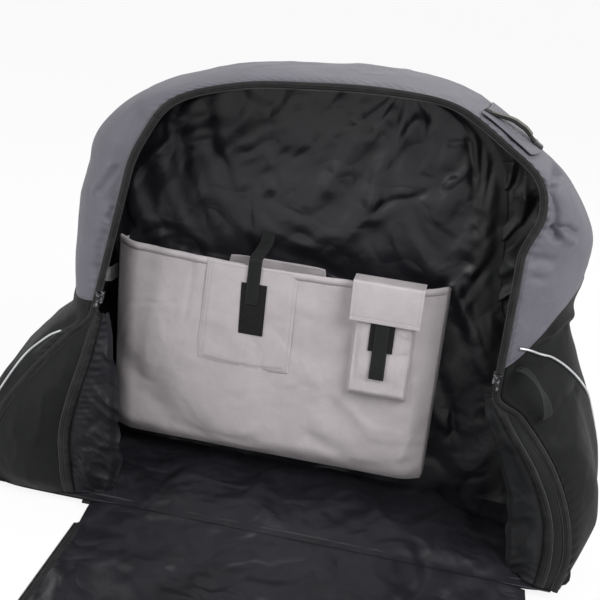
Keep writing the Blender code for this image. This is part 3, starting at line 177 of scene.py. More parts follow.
# fabrics: colours as they look in plain light, pitches and depths in metres
fabrics = {
    "greyShell": {"colour": (0.122, 0.118, 0.140), "light": (0.162, 0.157, 0.184), "rough": 0.60,
                  "weave": 0.0016, "weaveDepth": 0.00010, "crumple": 13, "crumpleDepth": 0.0075,
                  "lines": 0.30, "sheen": 0.08, "shine": 0.24, "stitch": 0.0045,
                  "thread": (0.070, 0.068, 0.080)},
    "blackShell": {"colour": (0.0066, 0.0069, 0.0069), "light": (0.0126, 0.0131, 0.0131),
                   "rough": 0.62, "weave": 0.0016, "weaveDepth": 0.00010, "crumple": 13,
                   "crumpleDepth": 0.0090, "lines": 0.35, "sheen": 0.03, "shine": 0.13,
                   "stitch": 0.007, "thread": (0.028, 0.028, 0.029)},
    "blackLining": {"colour": (0.0098, 0.0098, 0.0128), "light": (0.0200, 0.0200, 0.0255),
                    "rough": 0.39, "weave": 0.0009, "weaveDepth": 0.00003, "crumple": 8,
                    "crumpleDepth": 0.0210, "lines": 0.90, "sheen": 0.0, "shine": 0.42,
                    "stitch": 0.005, "thread": (0.024, 0.024, 0.028),
                    # painted light: a lighter, rougher lining colour, mixed in where more light
                    # falls
                    "facing": ((0.0125, 0.0132, 0.0129), (0.0225, 0.0236, 0.0230))},
    "pocketCloth": {"colour": (0.490, 0.452, 0.464), "light": (0.590, 0.548, 0.560),
                    "rough": 0.46, "weave": 0.0012, "weaveDepth": 0.00005, "crumple": 10,
                    "crumpleDepth": 0.0100, "lines": 0.40, "sheen": 0.03, "shine": 0.30,
                    "stitch": 0.006, "thread": (0.36, 0.335, 0.345)},
    "strapWeb": {"colour": (0.0125, 0.0137, 0.0132), "light": (0.0230, 0.0248, 0.0238),
                 "rough": 0.70, "weave": 0.0022, "weaveDepth": 0.00030, "crumple": 20,
                 "crumpleDepth": 0.0008, "lines": 0.0, "sheen": 0.04, "shine": 0.14,
                 "stitch": 0.0025, "thread": (0.034, 0.035, 0.034)},
    "taupeWeb": {"colour": (0.135, 0.126, 0.112), "light": (0.195, 0.184, 0.166), "rough": 0.68,
                 "weave": 0.0020, "weaveDepth": 0.00025, "crumple": 22, "crumpleDepth": 0.0008,
                 "lines": 0.0, "sheen": 0.05, "shine": 0.18, "stitch": 0.0020,
                 "thread": (0.09, 0.085, 0.075)},
    "tagCloth": {"colour": (0.62, 0.61, 0.60), "light": (0.70, 0.69, 0.68), "rough": 0.60,
                 "weave": 0.0008, "weaveDepth": 0.00004, "crumple": 30, "crumpleDepth": 0.0060,
                 "lines": 0.5, "sheen": 0.05, "shine": 0.22, "stitch": 0.003,
                 "thread": (0.5, 0.5, 0.5)},
}
fabrics["rolledLining"] = {**fabrics["blackLining"], "shine": 0.18, "rough": 0.44}


def fabricPaint(name):
    look = fabrics[name]
    paint = Paint(name)
    place = paint.place()
    cloth = paint.cloth()
    along = paint.node("ShaderNodeSeparateXYZ", None, {0: cloth}, output="X")
    across = paint.node("ShaderNodeSeparateXYZ", None, {0: cloth}, output="Y")
    turns = 2 * math.pi / look["weave"]
    warp = paint.maths("SINE", along * turns)
    weft = paint.maths("SINE", across * turns)
    weave = warp * weft
    hem = paint.node("ShaderNodeAttribute", {"attribute_name": "hem"}, output="Fac")
    row = 1.0 - paint.smooth(abs(hem - look["stitch"]), 0.0003, 0.0011)
    dash = paint.maths("FRACT", (along + across) * 260.0) < 0.68
    stitch = row * dash
    soft = paint.clouds(place, look["crumple"] * 0.35, 3.0, 0.55)
    creases = paint.cells(paint.mix(0.06, place, paint.clouds(place, 9.0, 2.0)),
                          look["crumple"], "SMOOTH_F1")
    fine = paint.clouds(place, look["crumple"] * 3.2, 4.0, 0.6, 0.6)
    bends = paint.clouds(place, look["crumple"] * 0.55, 1.5, 0.45, 1.1)
    lines = paint.smooth(abs(bends - 0.5), 0.0, 0.16) + abs(
        paint.clouds(place, look["crumple"] * 1.3, 1.0, 0.4, 0.8) - 0.5) * 1.4
    folds = creases * 0.55 + fine * 0.07 + soft * 0.45 + lines * (0.35 * look["lines"])
    mottle = paint.smooth(soft * 0.6 + fine * 0.4, 0.32, 0.70)
    # lighter along the hems: partly edge wear, partly a painted highlight where the folded edge
    # catches light
    worn = 1.0 - paint.smooth(hem, 0.0005, 0.0045)
    colour = paint.mix(mottle * 0.75 + worn * 0.25, look["colour"], look["light"])
    roughness = look["rough"] - 0.06 + mottle * 0.10 + worn * 0.05
    # painted light: the lining takes its lighter, rougher colour where more light falls
    if "facing" in look:
        facing = paint.node("ShaderNodeAttribute", {"attribute_name": "facing"}, output="Fac")
        colour = paint.mix(facing, colour, paint.mix(mottle, *look["facing"]))
        roughness = roughness + facing * 0.20
    colour = paint.mix(stitch * 0.7, colour, look["thread"])
    base = paint.bump(folds, look["crumpleDepth"], 0.9)
    woven = paint.bump(weave + stitch * 2.0, look["weaveDepth"], 0.7, base)
    return paint.finish(colour, roughness, woven, Sheen_Weight=look["sheen"],
                        Sheen_Roughness=0.45, Specular_IOR_Level=look["shine"])


# zip tape: ribbed across, with fine sewn lines and a lighter edge on the outside
zipCloth = {"colour": (0.0100, 0.0104, 0.0100), "light": (0.0190, 0.0196, 0.0188),
            "thread": (0.080, 0.080, 0.082), "rib": 0.0015, "lines": (0.0034, 0.0058, 0.0108),
            "edge": 0.0010}


def zipPaint():
    paint = Paint("zipTape")
    cloth = paint.cloth()
    across = paint.node("ShaderNodeSeparateXYZ", None, {0: cloth}, output="X")
    along = paint.node("ShaderNodeSeparateXYZ", None, {0: cloth}, output="Y")
    lines = 0
    for place in zipCloth["lines"]:
        lines = lines + (1.0 - paint.smooth(abs(across - place), 0.0002, 0.0009))
    ribs = paint.maths("SINE", along * (2 * math.pi / zipCloth["rib"]))
    cloud = paint.clouds(paint.place(), 40.0, 3.0)
    edge = 1.0 - paint.smooth(across, zipCloth["edge"] * 0.6, zipCloth["edge"] * 1.4)
    colour = paint.mix(paint.smooth(cloud, 0.35, 0.70), zipCloth["colour"], zipCloth["light"])
    colour = paint.mix(paint.maths("MINIMUM", lines * 0.35 + edge * 0.85, 1.0), colour,
                       zipCloth["thread"])
    normal = paint.bump(ribs * 0.4 + lines * 1.4 + cloud, 0.00030, 0.9)
    return paint.finish(colour, 0.56 + cloud * 0.10, normal, Specular_IOR_Level=0.15)


def hookPaint():
    paint = Paint("hookTape")
    place = paint.place()
    hooks = paint.cells(place, 420.0)
    fluff = paint.clouds(place, 90.0, 4.0, 0.7)
    colour = paint.mix(paint.smooth(hooks + fluff * 0.5, 0.25, 0.95), (0.006, 0.006, 0.0065),
                       (0.018, 0.018, 0.019))
    normal = paint.bump(hooks * 0.6 + fluff * 0.6, 0.0009, 1.0)
    return paint.finish(colour, 0.92, normal, Specular_IOR_Level=0.16)


def pipingPaint():
    paint = Paint("reflectivePiping")
    place = paint.place()
    beads = paint.clouds(place, 300.0, 2.0)
    colour = paint.mix(paint.smooth(paint.clouds(place, 30.0, 3.0), 0.35, 0.75),
                       (0.50, 0.51, 0.53), (0.72, 0.73, 0.74))
    return paint.finish(colour, 0.30 + beads * 0.15, paint.bump(beads, 0.0002, 0.6),
                        Metallic=0.35, Sheen_Weight=0.3)


def mouldedPaint(name, dark, light, rough, grain):
    paint = Paint(name)
    place = paint.place()
    fine = paint.clouds(place, grain, 4.0, 0.6)
    wide = paint.clouds(place, 14.0, 3.0, 0.6)
    scuffs = paint.smooth(paint.clouds(paint.scaled(place, (1.0, 7.0, 7.0)), 60.0, 3.0, 0.7),
                          0.60, 0.72)
    colour = paint.mix(paint.smooth(wide, 0.3, 0.7) * 0.6 + scuffs * 0.4, dark, light)
    normal = paint.bump(fine * 0.7 + scuffs * 0.3, 0.00035, 0.8)
    return paint.finish(colour, rough + fine * 0.12 + scuffs * 0.1, normal)


def metalPaint(name, dark, light, rough):
    paint = Paint(name)
    place = paint.place()
    brushed = paint.clouds(paint.scaled(place, (30.0, 400.0, 30.0)), 8.0, 3.0)
    worn = paint.smooth(paint.clouds(place, 120.0, 3.0, 0.7), 0.48, 0.66)
    colour = paint.mix(worn, dark, light)
    normal = paint.bump(brushed, 0.00008, 0.6)
    return paint.finish(colour, rough + brushed * 0.14, normal, Metallic=0.92)


# dark and light colour, roughness, and the grain of moulded parts
mouldings = {
    "skidPlastic": ((0.020, 0.020, 0.021), (0.055, 0.055, 0.056), 0.42, 500.0),
    "boardPlastic": ((0.035, 0.035, 0.036), (0.060, 0.060, 0.062), 0.55, 300.0),
    "coilNylon": ((0.016, 0.016, 0.017), (0.050, 0.050, 0.052), 0.34, 600.0),
    "rollerRubber": ((0.014, 0.014, 0.014), (0.050, 0.048, 0.045), 0.78, 700.0)}
metals = {
    "sliderMetal": ((0.035, 0.035, 0.038), (0.30, 0.30, 0.31), 0.26),
    "axleSteel": ((0.42, 0.42, 0.43), (0.60, 0.60, 0.61), 0.26)}
paints = {name: fabricPaint(name) for name in fabrics}
paints.update(zipTape=zipPaint(), hookTape=hookPaint(), piping=pipingPaint())
paints.update({name: mouldedPaint(name, *look) for name, look in mouldings.items()})
paints.update({name: metalPaint(name, *look) for name, look in metals.items()})
print("paints mixed")

# the bag's shape, in shares of its half length and height, from the left end of the base,
# up over the top and down to the right end
bag = {
    "last": 26, "crown": 13,
    "halfLength": 0.670, "baseZ": 0.0218, "height": 0.9382,
    "backY": 0.140, "widestY": 0.050, "upperFrontY": -0.085, "lowerFrontY": -0.150,
    "straightRuns": ((5, 8), (18, 21)),
    "backSeam": [
        (-0.896, 0.000), (-0.925, 0.067), (-0.896, 0.158), (-0.836, 0.248), (-0.739, 0.334),
        (-0.657, 0.414), (-0.649, 0.531), (-0.642, 0.638), (-0.615, 0.739), (-0.545, 0.819),
        (-0.418, 0.883), (-0.209, 0.931), (0.007, 0.949), (0.224, 0.952), (0.388, 0.920),
        (0.500, 0.856), (0.545, 0.787), (0.564, 0.723), (0.570, 0.670), (0.575, 0.616),
        (0.582, 0.563), (0.597, 0.499), (0.672, 0.419), (0.776, 0.318), (0.873, 0.206),
        (0.918, 0.094), (0.896, 0.000)],
    "widest": [
        (-0.933, 0.000), (-0.978, 0.072), (-0.955, 0.168), (-0.888, 0.264), (-0.799, 0.344),
        (-0.719, 0.419), (-0.718, 0.542), (-0.712, 0.648), (-0.687, 0.755), (-0.619, 0.845),
        (-0.478, 0.915), (-0.239, 0.973), (0.000, 0.995), (0.239, 1.000), (0.433, 0.973),
        (0.597, 0.904), (0.731, 0.829), (0.813, 0.744), (0.828, 0.686), (0.821, 0.638),
        (0.810, 0.590), (0.806, 0.542), (0.843, 0.456), (0.910, 0.344), (0.970, 0.222),
        (0.985, 0.104), (0.933, 0.000)],
    "zipEdge": [
        (-0.896, 0.000), (-0.918, 0.072), (-0.873, 0.174), (-0.784, 0.275), (-0.690, 0.360),
        (-0.604, 0.435), (-0.574, 0.538), (-0.544, 0.641), (-0.514, 0.744), (-0.470, 0.829),
        (-0.381, 0.915), (-0.194, 0.963), (0.015, 0.981), (0.224, 0.989), (0.391, 0.979),
        (0.537, 0.920), (0.642, 0.861), (0.669, 0.787), (0.633, 0.691), (0.633, 0.595),
        (0.633, 0.499), (0.633, 0.403), (0.709, 0.366), (0.813, 0.286), (0.881, 0.190),
        (0.910, 0.088), (0.896, 0.000)],
    "forward": [1.0, 1.0, 0.95, 0.72, 0.30, 0.0, 0.0, 0.0, 0.0, 0.0, 0.0, 0.0, 0.0, 0.0, 0.0,
                0.0, 0.0, 0.0, 0.0, 0.0, 0.0, 0.0, 0.30, 0.72, 0.95, 1.0, 1.0],
    "leftMouth": [(-0.612, 0.000), (-0.627, 0.072), (-0.634, 0.158), (-0.615, 0.243),
                  (-0.590, 0.334), (-0.573, 0.422)],
    "rightMouth": [(0.603, 0.392), (0.664, 0.334), (0.754, 0.257), (0.814, 0.170),
                   (0.834, 0.080), (0.828, 0.000)],
}


def unit(vectors):
    return vectors / np.maximum(np.linalg.norm(vectors, axis=-1, keepdims=True), 1e-9)


def between(low, high, share):
    return low + (high - low) * share


def within(value, low, high):
    return np.clip((np.asarray(value, float) - low) / (high - low), 0, 1)


def ease(value, low, high):
    share = within(value, low, high)
    return share * share * (3 - 2 * share)


def hump(share):
    return np.sin(math.pi * share)


def bell(value, middle, width):
    return np.exp(-((value - middle) / width) ** 2)


def blunt(wave, power):
    return np.sign(wave) * np.abs(wave) ** power


def sheetOf(x, y, z):
    return np.stack(np.broadcast_arrays(x, y, z), -1)


def tableAt(values, t):
    values = np.asarray(values, float)
    last = len(values) - 1
    slopes = np.gradient(values)
    if last == bag["last"]:
        for first, final in bag["straightRuns"]:
            slopes[first:final + 1] = (values[final] - values[first]) / (final - first)
    t = np.clip(np.asarray(t, float), 0, last)
    i = np.minimum(t.astype(int), last - 1)
    f = t - i
    return ((2 * f ** 3 - 3 * f ** 2 + 1) * values[i] + (f ** 3 - 2 * f ** 2 + f) * slopes[i]
            + (3 * f ** 2 - 2 * f ** 3) * values[i + 1] + (f ** 3 - f ** 2) * slopes[i + 1])


def outlineAt(name, t, y):
    pairs = np.array(bag[name])
    x = tableAt(pairs[:, 0], t) * bag["halfLength"]
    z = bag["baseZ"] + tableAt(pairs[:, 1], t) * bag["height"]
    return sheetOf(x, y, z)


def zipEdgeAt(t):
    return outlineAt("zipEdge", t, between(bag["upperFrontY"], bag["lowerFrontY"],
                                           tableAt(bag["forward"], t)))


def skinAt(t, s):
    t, s = np.broadcast_arrays(np.asarray(t, float), np.asarray(s, float))
    wide = outlineAt("widest", t, bag["widestY"])
    rearEdge = outlineAt("backSeam", t, bag["backY"])
    frontEdge = zipEdgeAt(t)
    turn = math.pi * s
    rear = rearEdge + (wide - rearEdge) * np.sin(turn)[..., None]
    rear[..., 1] = bag["backY"] + (bag["widestY"] - bag["backY"]) * (1 - np.cos(turn))
    ahead = frontEdge + (wide - frontEdge) * np.cos(turn - math.pi / 2)[..., None]
    ahead[..., 1] = bag["widestY"] + (frontEdge[..., 1] - bag["widestY"]) * np.sin(
        turn - math.pi / 2)
    return np.where((s <= 0.5)[..., None], rear, ahead)


def skinNormalAt(t, s):
    ds = skinAt(t, np.minimum(s + 0.004, 1)) - skinAt(t, np.maximum(s - 0.004, 0))
    dt = skinAt(np.minimum(t + 0.01, bag["last"]), s) - skinAt(np.maximum(t - 0.01, 0), s)
    return unit(np.cross(ds, dt))


def inwardAt(t):
    along = (zipEdgeAt(np.minimum(t + 0.01, bag["last"]))
             - zipEdgeAt(np.maximum(t - 0.01, 0)))
    return unit(sheetOf(along[..., 2], 0, -along[..., 0]))


def shares(rows, columns):
    return np.linspace(0, 1, rows)[:, None], np.linspace(0, 1, columns)[None, :]


def stepsOf(points, axis=0):
    return np.linalg.norm(np.diff(points, axis=axis), axis=-1)


def runAcross(points):
    return np.linalg.norm(np.diff(points, axis=1, prepend=points[:, :1]), axis=-1).cumsum(1)


def pick(values, run, places):
    return np.stack([np.interp(places, run, values[:, k]) for k in range(values.shape[1])], -1)


def soften(line, times):
    for _ in range(times):
        line[1:-1] = (line[:-2] + 2 * line[1:-1] + line[2:]) / 4


# repeatable noise for folds
def noiseAt(points, scale, seed):
    q = np.asarray(points) * np.asarray(scale, float) + seed * 17.31
    base = np.floor(q)
    f = q - base
    f = f * f * (3 - 2 * f)
    total = np.zeros(q.shape[:-1])
    for corner in range(8):
        step = np.array([corner & 1, corner >> 1 & 1, corner >> 2 & 1])
        cell = base + step
        hashed = np.sin(cell @ np.array([127.1, 311.7, 74.7])) * 43758.5453
        weight = np.prod(np.where(step == 1, f, 1 - f), axis=-1)
        total += weight * (hashed - np.floor(hashed))
    return total * 2 - 1


def cloudsAt(points, scale, seed, octaves=3):
    return sum(noiseAt(points, np.asarray(scale, float) * 2 ** k, seed + k) / 2 ** k
               for k in range(octaves))


# ridges like folds, brought to stand about zero
def foldsAt(points, scale, seed, octaves=3):
    return sum((1 - np.abs(noiseAt(points, np.asarray(scale, float) * 1.9 ** k, seed + 3 * k)))
               ** 3 / 1.7 ** k for k in range(octaves)) - 0.9


def creaseAt(points, line, width, axes=(0, 2)):
    flat = points[..., list(axes)]
    nearest = np.full(flat.shape[:-1], 9.0)
    for a, b in zip(line, line[1:]):
        a, b = np.array(a, float), np.array(b, float)
        share = np.clip(((flat - a) @ (b - a)) / ((b - a) @ (b - a)), 0, 1)
        nearest = np.minimum(nearest, np.linalg.norm(flat - a - share[..., None] * (b - a),
                                                     axis=-1))
    return bell(nearest, 0, width)


def skinLine(route):
    t, s = np.array(route, float).T
    places = np.linspace(0, len(route) - 1, 6 * (len(route) - 1) + 1)
    steps = np.arange(len(route))
    return skinAt(np.interp(places, steps, t), np.interp(places, steps, s))


def meshFrom(bm, name):
    mesh = bpy.data.meshes.new(name)
    bm.to_mesh(mesh)
    bm.free()
    return mesh


def gridMesh(name, rows, columns, flip=False):
    bm = bmesh.new()
    bmesh.ops.create_grid(bm, x_segments=rows - 1, y_segments=columns - 1, size=1)
    if flip:
        bmesh.ops.reverse_faces(bm, faces=bm.faces)
    mesh = meshFrom(bm, name)
    flat = np.empty(len(mesh.vertices) * 3)
    mesh.vertices.foreach_get("co", flat)
    flat = flat.reshape(-1, 3)
    i = np.rint((flat[:, 0] + 1) / 2 * (rows - 1)).astype(int)
    j = np.rint((flat[:, 1] + 1) / 2 * (columns - 1)).astype(int)
    return mesh, i, j


def addObject(name, data):
    thing = bpy.data.objects.new(name, data)
    bpy.context.scene.collection.objects.link(thing)
    return thing


def mark(mesh, name, values):
    mesh.attributes.new(name, "FLOAT", "POINT").data.foreach_set("value",
                                                                 values.astype(np.float32))


def dressMesh(name, mesh, paintName):
    mesh.shade_smooth()
    mesh.materials.append(paints[paintName])
    return addObject(name, mesh)


def thicken(piece, thickness):
    solid = piece.modifiers.new("thickness", "SOLIDIFY")
    solid.thickness = thickness
    solid.offset = -1


# one sheet of cloth from a grid of points
def makeCloth(name, points, paintName, thickness=0.0016, flip=False, body="shell", facing=None,
              smooth=0):
    rows, columns = points.shape[:2]
    mesh, i, j = gridMesh(name, rows, columns, flip)
    mesh.vertices.foreach_set("co", points[i, j].ravel())
    down = np.cumsum(np.r_[0, stepsOf(points).mean(1)])
    over = np.cumsum(np.r_[0, stepsOf(points, 1).mean(0)])
    hem = np.minimum(np.minimum(down, down[-1] - down)[:, None],
                     np.minimum(over, over[-1] - over)[None, :])
    mark(mesh, "hem", hem[i, j])
    # painted light: each point's share of the lining's lighter colour, where more light falls
    if facing is not None:
        mark(mesh, "facing", np.broadcast_to(facing, (rows, columns))[i, j])
    corners = np.empty(len(mesh.loops), int)
    mesh.loops.foreach_get("vertex_index", corners)
    layer = mesh.uv_layers.new(name="cloth")
    layer.data.foreach_set("uv", np.stack([down[i[corners]], over[j[corners]]], -1).ravel())
    piece = dressMesh(name, mesh, paintName)
    if smooth:
        finer = piece.modifiers.new("finer", "SUBSURF")
        finer.levels = finer.render_levels = smooth
    if thickness:
        thicken(piece, thickness)
    if body:
        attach(piece, body)
    return piece


# cloth pinned at its edge and cut a little too big, which buckles and falls into folds
settling = {"frames": 34, "quality": 5, "mass": 0.15, "stretch": 14.0}


def settle(points, spare, gravity, bend, held=None):
    rows, columns = points.shape[:2]
    mesh, i, j = gridMesh("settling", rows, columns)
    mesh.vertices.foreach_set("co", points[i, j].ravel())
    cloth = addObject("settling", mesh)
    pinned = np.zeros((rows, columns), bool)
    pinned[[0, -1]] = True
    pinned[:, [0, -1]] = True
    if held is not None:
        pinned |= held
    group = cloth.vertex_groups.new(name="held")
    group.add([int(n) for n in np.flatnonzero(pinned[i, j])], 1.0, "REPLACE")
    sim = cloth.modifiers.new("cloth", "CLOTH")
    sim.settings.vertex_group_mass = "held"
    sim.settings.quality = settling["quality"]
    sim.settings.mass = settling["mass"]
    sim.settings.tension_stiffness = settling["stretch"]
    sim.settings.compression_stiffness = settling["stretch"]
    sim.settings.shear_stiffness = settling["stretch"] * 0.4
    sim.settings.bending_stiffness = bend
    sim.settings.shrink_min = -spare
    sim.settings.effector_weights.gravity = gravity
    sim.collision_settings.use_collision = False
    sim.point_cache.frame_start = 1
    sim.point_cache.frame_end = settling["frames"]
    scene = bpy.context.scene
    before = scene.frame_current
    for step in range(1, settling["frames"] + 1):
        scene.frame_set(step)
    moved = cloth.evaluated_get(bpy.context.evaluated_depsgraph_get())
    flat = np.empty(rows * columns * 3)
    moved.data.vertices.foreach_get("co", flat)
    settled = np.empty_like(points)
    settled[i, j] = flat.reshape(-1, 3)
    bpy.data.objects.remove(cloth)
    scene.frame_set(before)
    print("cloth settled", rows, columns, np.round(np.ptp(settled - points, axis=(0, 1)), 4))
    return settled


# heights of a settled cloth as 0 to 1
def spread(height):
    low, high = np.percentile(height[4:-4, 4:-4], (4, 96))
    return 0.5 + 0.5 * np.tanh(1.2 * (2 * (height - low) / (high - low) - 1))


# hides the solids that a piece stands for
def dress(nodes=(), rests=None):
    if nodes:
        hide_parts(*nodes)


def makeTube(name, points, radius, paintName, body="shell", sides=10):
    points = np.asarray(points, float)
    ahead = unit(np.gradient(points, axis=0))
    side = unit(np.cross(ahead, np.array([0.13, 0.21, 0.97])))
    up = np.cross(side, ahead)
    angles = np.linspace(0, 2 * math.pi, sides + 1)
    ring = (side[:, None] * np.cos(angles)[None, :, None]
            + up[:, None] * np.sin(angles)[None, :, None])
    return makeCloth(name, points[:, None] + ring * radius, paintName, 0, True, body)


# where the standing shell is creased: routes along and across it, width and depth
shellDents = [
    ([(16.26, 0.975), (15.96, 0.863), (15.74, 0.698), (15.68, 0.562)], 0.0095, -0.0095),
    ([(16.22, 0.952), (15.82, 0.735)], 0.0060, -0.0060),
    ([(16.05, 0.93), (15.85, 0.80)], 0.0060, 0.0040),
    ([(16.30, 0.985), (16.78, 0.980), (17.18, 0.960)], 0.0065, 0.0045),
    ([(16.36, 0.925), (16.80, 0.930), (17.20, 0.932)], 0.0100, -0.0090),
    ([(17.20, 0.942), (17.34, 0.887)], 0.0060, -0.0080),
    ([(17.34, 0.887), (17.10, 0.890), (17.00, 0.833), (17.06, 0.765)], 0.0060, -0.0065),
    ([(17.24, 0.860), (17.30, 0.800)], 0.0090, 0.0045),
    ([(17.94, 0.948), (17.90, 0.913), (17.94, 0.873)], 0.0090, -0.0040),
    ([(18.35, 0.940), (18.40, 0.900)], 0.0080, -0.0030),
    ([(15.20, 0.960), (14.90, 0.880)], 0.0100, -0.0040),
    ([(8.02, 0.915), (7.72, 0.885), (7.48, 0.855)], 0.0070, -0.0055),
    ([(8.02, 0.890), (7.72, 0.860), (7.48, 0.830)], 0.0080, 0.0045),
    ([(9.34, 0.880), (8.62, 0.940), (7.92, 0.960), (7.40, 0.972)], 0.0180, -0.0075),
    ([(7.18, 0.970), (7.00, 0.958), (7.02, 0.982)], 0.0060, -0.0055),
    ([(6.70, 0.960), (6.30, 0.940), (5.90, 0.960)], 0.0100, -0.0050),
    ([(20.60, 0.820), (20.90, 0.620)], 0.0120, -0.0055),
    ([(20.50, 0.740), (20.75, 0.560)], 0.0120, 0.0050),
    ([(22.60, 0.880), (22.30, 0.760), (22.40, 0.640)], 0.0140, -0.0055),
    ([(23.00, 0.800), (24.60, 0.700)], 0.0300, 0.0050),
    ([(22.80, 0.600), (24.80, 0.540)], 0.0300, -0.0055),
    ([(4.60, 0.880), (3.60, 0.800)], 0.0120, -0.0050),
    ([(3.20, 0.950), (2.00, 0.900), (1.00, 0.900)], 0.0250, -0.0055),
    ([(2.60, 0.750), (1.20, 0.700)], 0.0300, 0.0045),
]


def dentsAt(points):
    return sum(1.45 * depth * creaseAt(points, skinLine(route), width * 1.15, (0, 1, 2))
               for route, width, depth in shellDents)


# grey upper shell: the two upper ends and the top
greyShell = {"columns": 680, "rows": 92, "leftSeam": 5.15, "rightSeam": (19.0, 20.45),
             "sag": 0.0045, "lowest": -0.0026}
puckers = {"height": 0.0021, "pitch": 0.019, "reach": 0.020}


def frontShareFor(t, distance):
    span = np.linalg.norm((outlineAt("widest", t, 0.0) - outlineAt("zipEdge", t, 0.0)), axis=-1)
    return 0.5 + np.arccos(np.clip(distance / span, 0, 0.9)) / math.pi


def puckerAt(points, apart):
    run = runAcross(points)
    wave = np.sin(run[-1:] / puckers["pitch"] * 2 * math.pi + 4.0 * noiseAt(points, 7, 12))
    patchy = np.clip(0.35 + 0.9 * noiseAt(points, 11, 14), 0, 1)
    return puckers["height"] * bell(apart, 0, puckers["reach"]) * wave * patchy


def edgeGap(t, s):
    return np.linalg.norm(skinAt(t, s) - zipEdgeAt(t), axis=-1)


def shellSheet(name, tStart, tEnd, look, paintName, replaced, seed):
    v, u = shares(look["rows"], look["columns"])
    tEdge = between(tStart(v), tEnd(v), u)
    s = v * frontShareFor(tEdge, zipLook["outer"] - 0.001)
    points = skinAt(tEdge, s)
    normals = skinNormalAt(tEdge, s)
    free = hump(np.clip(s, 0, 1)) ** 0.5
    seamFade = ease(u, 0, 0.03) * (1 - ease(u, 0.97, 1))
    lift = look["sag"] * cloudsAt(points, (5, 5, 4), seed) * free * (0.3 + 0.7 * seamFade)
    lift = lift + 0.35 * look["sag"] * foldsAt(points, (14, 8, 9), seed + 5, 2) * free
    lift = np.maximum(lift, look["lowest"]) + dentsAt(points)
    lift = lift + puckerAt(points, edgeGap(tEdge, s))
    points = points + normals * (lift - 0.0006)[..., None]
    piece = makeCloth(name, points, paintName, 0.0030)
    dress(replaced)


def steady(value):
    return lambda v: np.full_like(v, value)


def rightSeam(v):
    return between(*greyShell["rightSeam"], ease(v, 0.45, 1.0))


# zip: a narrow tape outside the edge, one inside it, and the coil
zipLook = {"outer": 0.0028, "inner": 0.0108, "lift": 0.0030, "tooth": (0.0034, 0.0017, 0.0013),
           "pitch": 0.0032, "rows": 12, "columnsEach": 26, "pucker": 0.022,
           "coilIn": 0.0118, "coilAhead": 0.0026}

shellSheet("greyShellCloth", steady(greyShell["leftSeam"]), rightSeam, greyShell, "greyShell",
           ("gusset_left_upper", "gusset_top", "gusset_right_upper"), 3)

# black lower ends
blackEnds = {"columns": 190, "rows": 80, "sag": 0.0050, "lowest": -0.0026}
shellSheet("leftEndCloth", steady(0.0), steady(greyShell["leftSeam"]), blackEnds, "blackShell",
           ("gusset_left_lower",), 11)
shellSheet("rightEndCloth", rightSeam, steady(bag["last"]), blackEnds, "blackShell",
           ("gusset_right_lower",), 15)
print("outer shell sewn")

# back wall, grey above and black below
backWall = {"pillow": 0.006, "seam": (5, 21), "rows": 60, "columns": 90}


def backPanel(name, above, paintName, node):
    v, u = shares(backWall["rows"], backWall["columns"])
    first, final = backWall["seam"]
    ends = (first, final) if above else (0, bag["last"])
    tops = (bag["crown"], bag["crown"]) if above else (first, final)
    left, right = [outlineAt("backSeam", between(end, top, v), bag["backY"])
                   for end, top in zip(ends, tops)]
    points = between(left, right, u[..., None])
    free = (hump(u) * hump(np.clip(v, 0.02, 0.98))) ** 0.4
    lift = backWall["pillow"] * free * (0.5 + 0.35 * cloudsAt(points, 4, 21))
    lift = lift + 0.002 * foldsAt(points, (7, 7, 5), 24, 2) * free
    points[..., 1] = points[..., 1] - 0.0012 + lift
    piece = makeCloth(name, points, paintName, 0.003, True)
    dress([node])


backPanel("backUpperCloth", True, "greyShell", "back_wall_upper")
backPanel("backLowerCloth", False, "blackShell", "back_wall_lower")
print("back wall sewn")

# satin lining: the walls all round and the back
lining = {"offset": 0.0072, "wallFold": 0.013, "backFold": 0.007, "columns": 820, "rows": 76,
          "backRows": 112, "backColumns": 126, "reach": 0.0135, "backY": 0.1335}

# folds of the wall lining, by place along and across the wall
wallFolds = [
    ([(16.70, 0.125), (17.56, 0.085), (18.46, 0.021)], 0.0065, -0.0065),
    ([(16.55, 0.100), (17.40, 0.060), (18.20, 0.010)], 0.0080, 0.0065),
    ([(15.30, 0.120), (15.80, 0.060), (16.30, 0.010)], 0.0070, 0.0050),
    ([(15.60, 0.125), (16.05, 0.065), (16.50, 0.010)], 0.0060, -0.0050),
    ([(14.40, 0.140), (14.80, 0.060)], 0.0070, -0.0050),
    ([(20.60, 0.080), (20.95, 0.015)], 0.0050, -0.0050),
    ([(20.35, 0.075), (20.70, 0.010)], 0.0060, 0.0055),
    ([(19.40, 0.070), (19.75, 0.010)], 0.0080, 0.0040),
]


def wallLining(side, tStart, tEnd, seed):
    v, u = shares(lining["rows"], int(lining["columns"] * (tEnd - tStart) / bag["last"]))
    t = between(tStart, tEnd, u)
    s = v ** 1.4
    points = skinAt(t, s)
    normals = skinNormalAt(t, s)
    free = ease(s, 0, 0.06) * ease(1 - s, 0, 0.10)
    folds = foldsAt(points, (9, 5, 7), seed, 3)
    slow = cloudsAt(points, (6, 6, 5), seed + 4, 2)
    depth = 0.45 + 0.9 * folds + 0.5 * slow
    depth = lining["wallFold"] * free * np.clip(depth, 0, 2.2)
    for route, width, height in wallFolds:
        depth = depth + 1.5 * height * creaseAt(points, skinLine(route), width * 1.3, (0, 1, 2))
    depth = np.maximum(depth, 0)
    depth = depth + 0.8 * np.abs(puckerAt(points, edgeGap(t, s)))
    depth = depth - np.minimum(dentsAt(points), 0)
    points = points - normals * (lining["offset"] + depth)[..., None]
    points[..., 1] = np.minimum(points[..., 1], 0.1350)
    # painted light: the lining is painted lighter from the right of the top round the right wall,
    # where more light falls
    piece = makeCloth(side + "WallLining", points, "blackLining", 0.0010, True,
                      facing=ease(t, 12.6, 14.6))
    dress(["lining_" + side], ["base_board"])


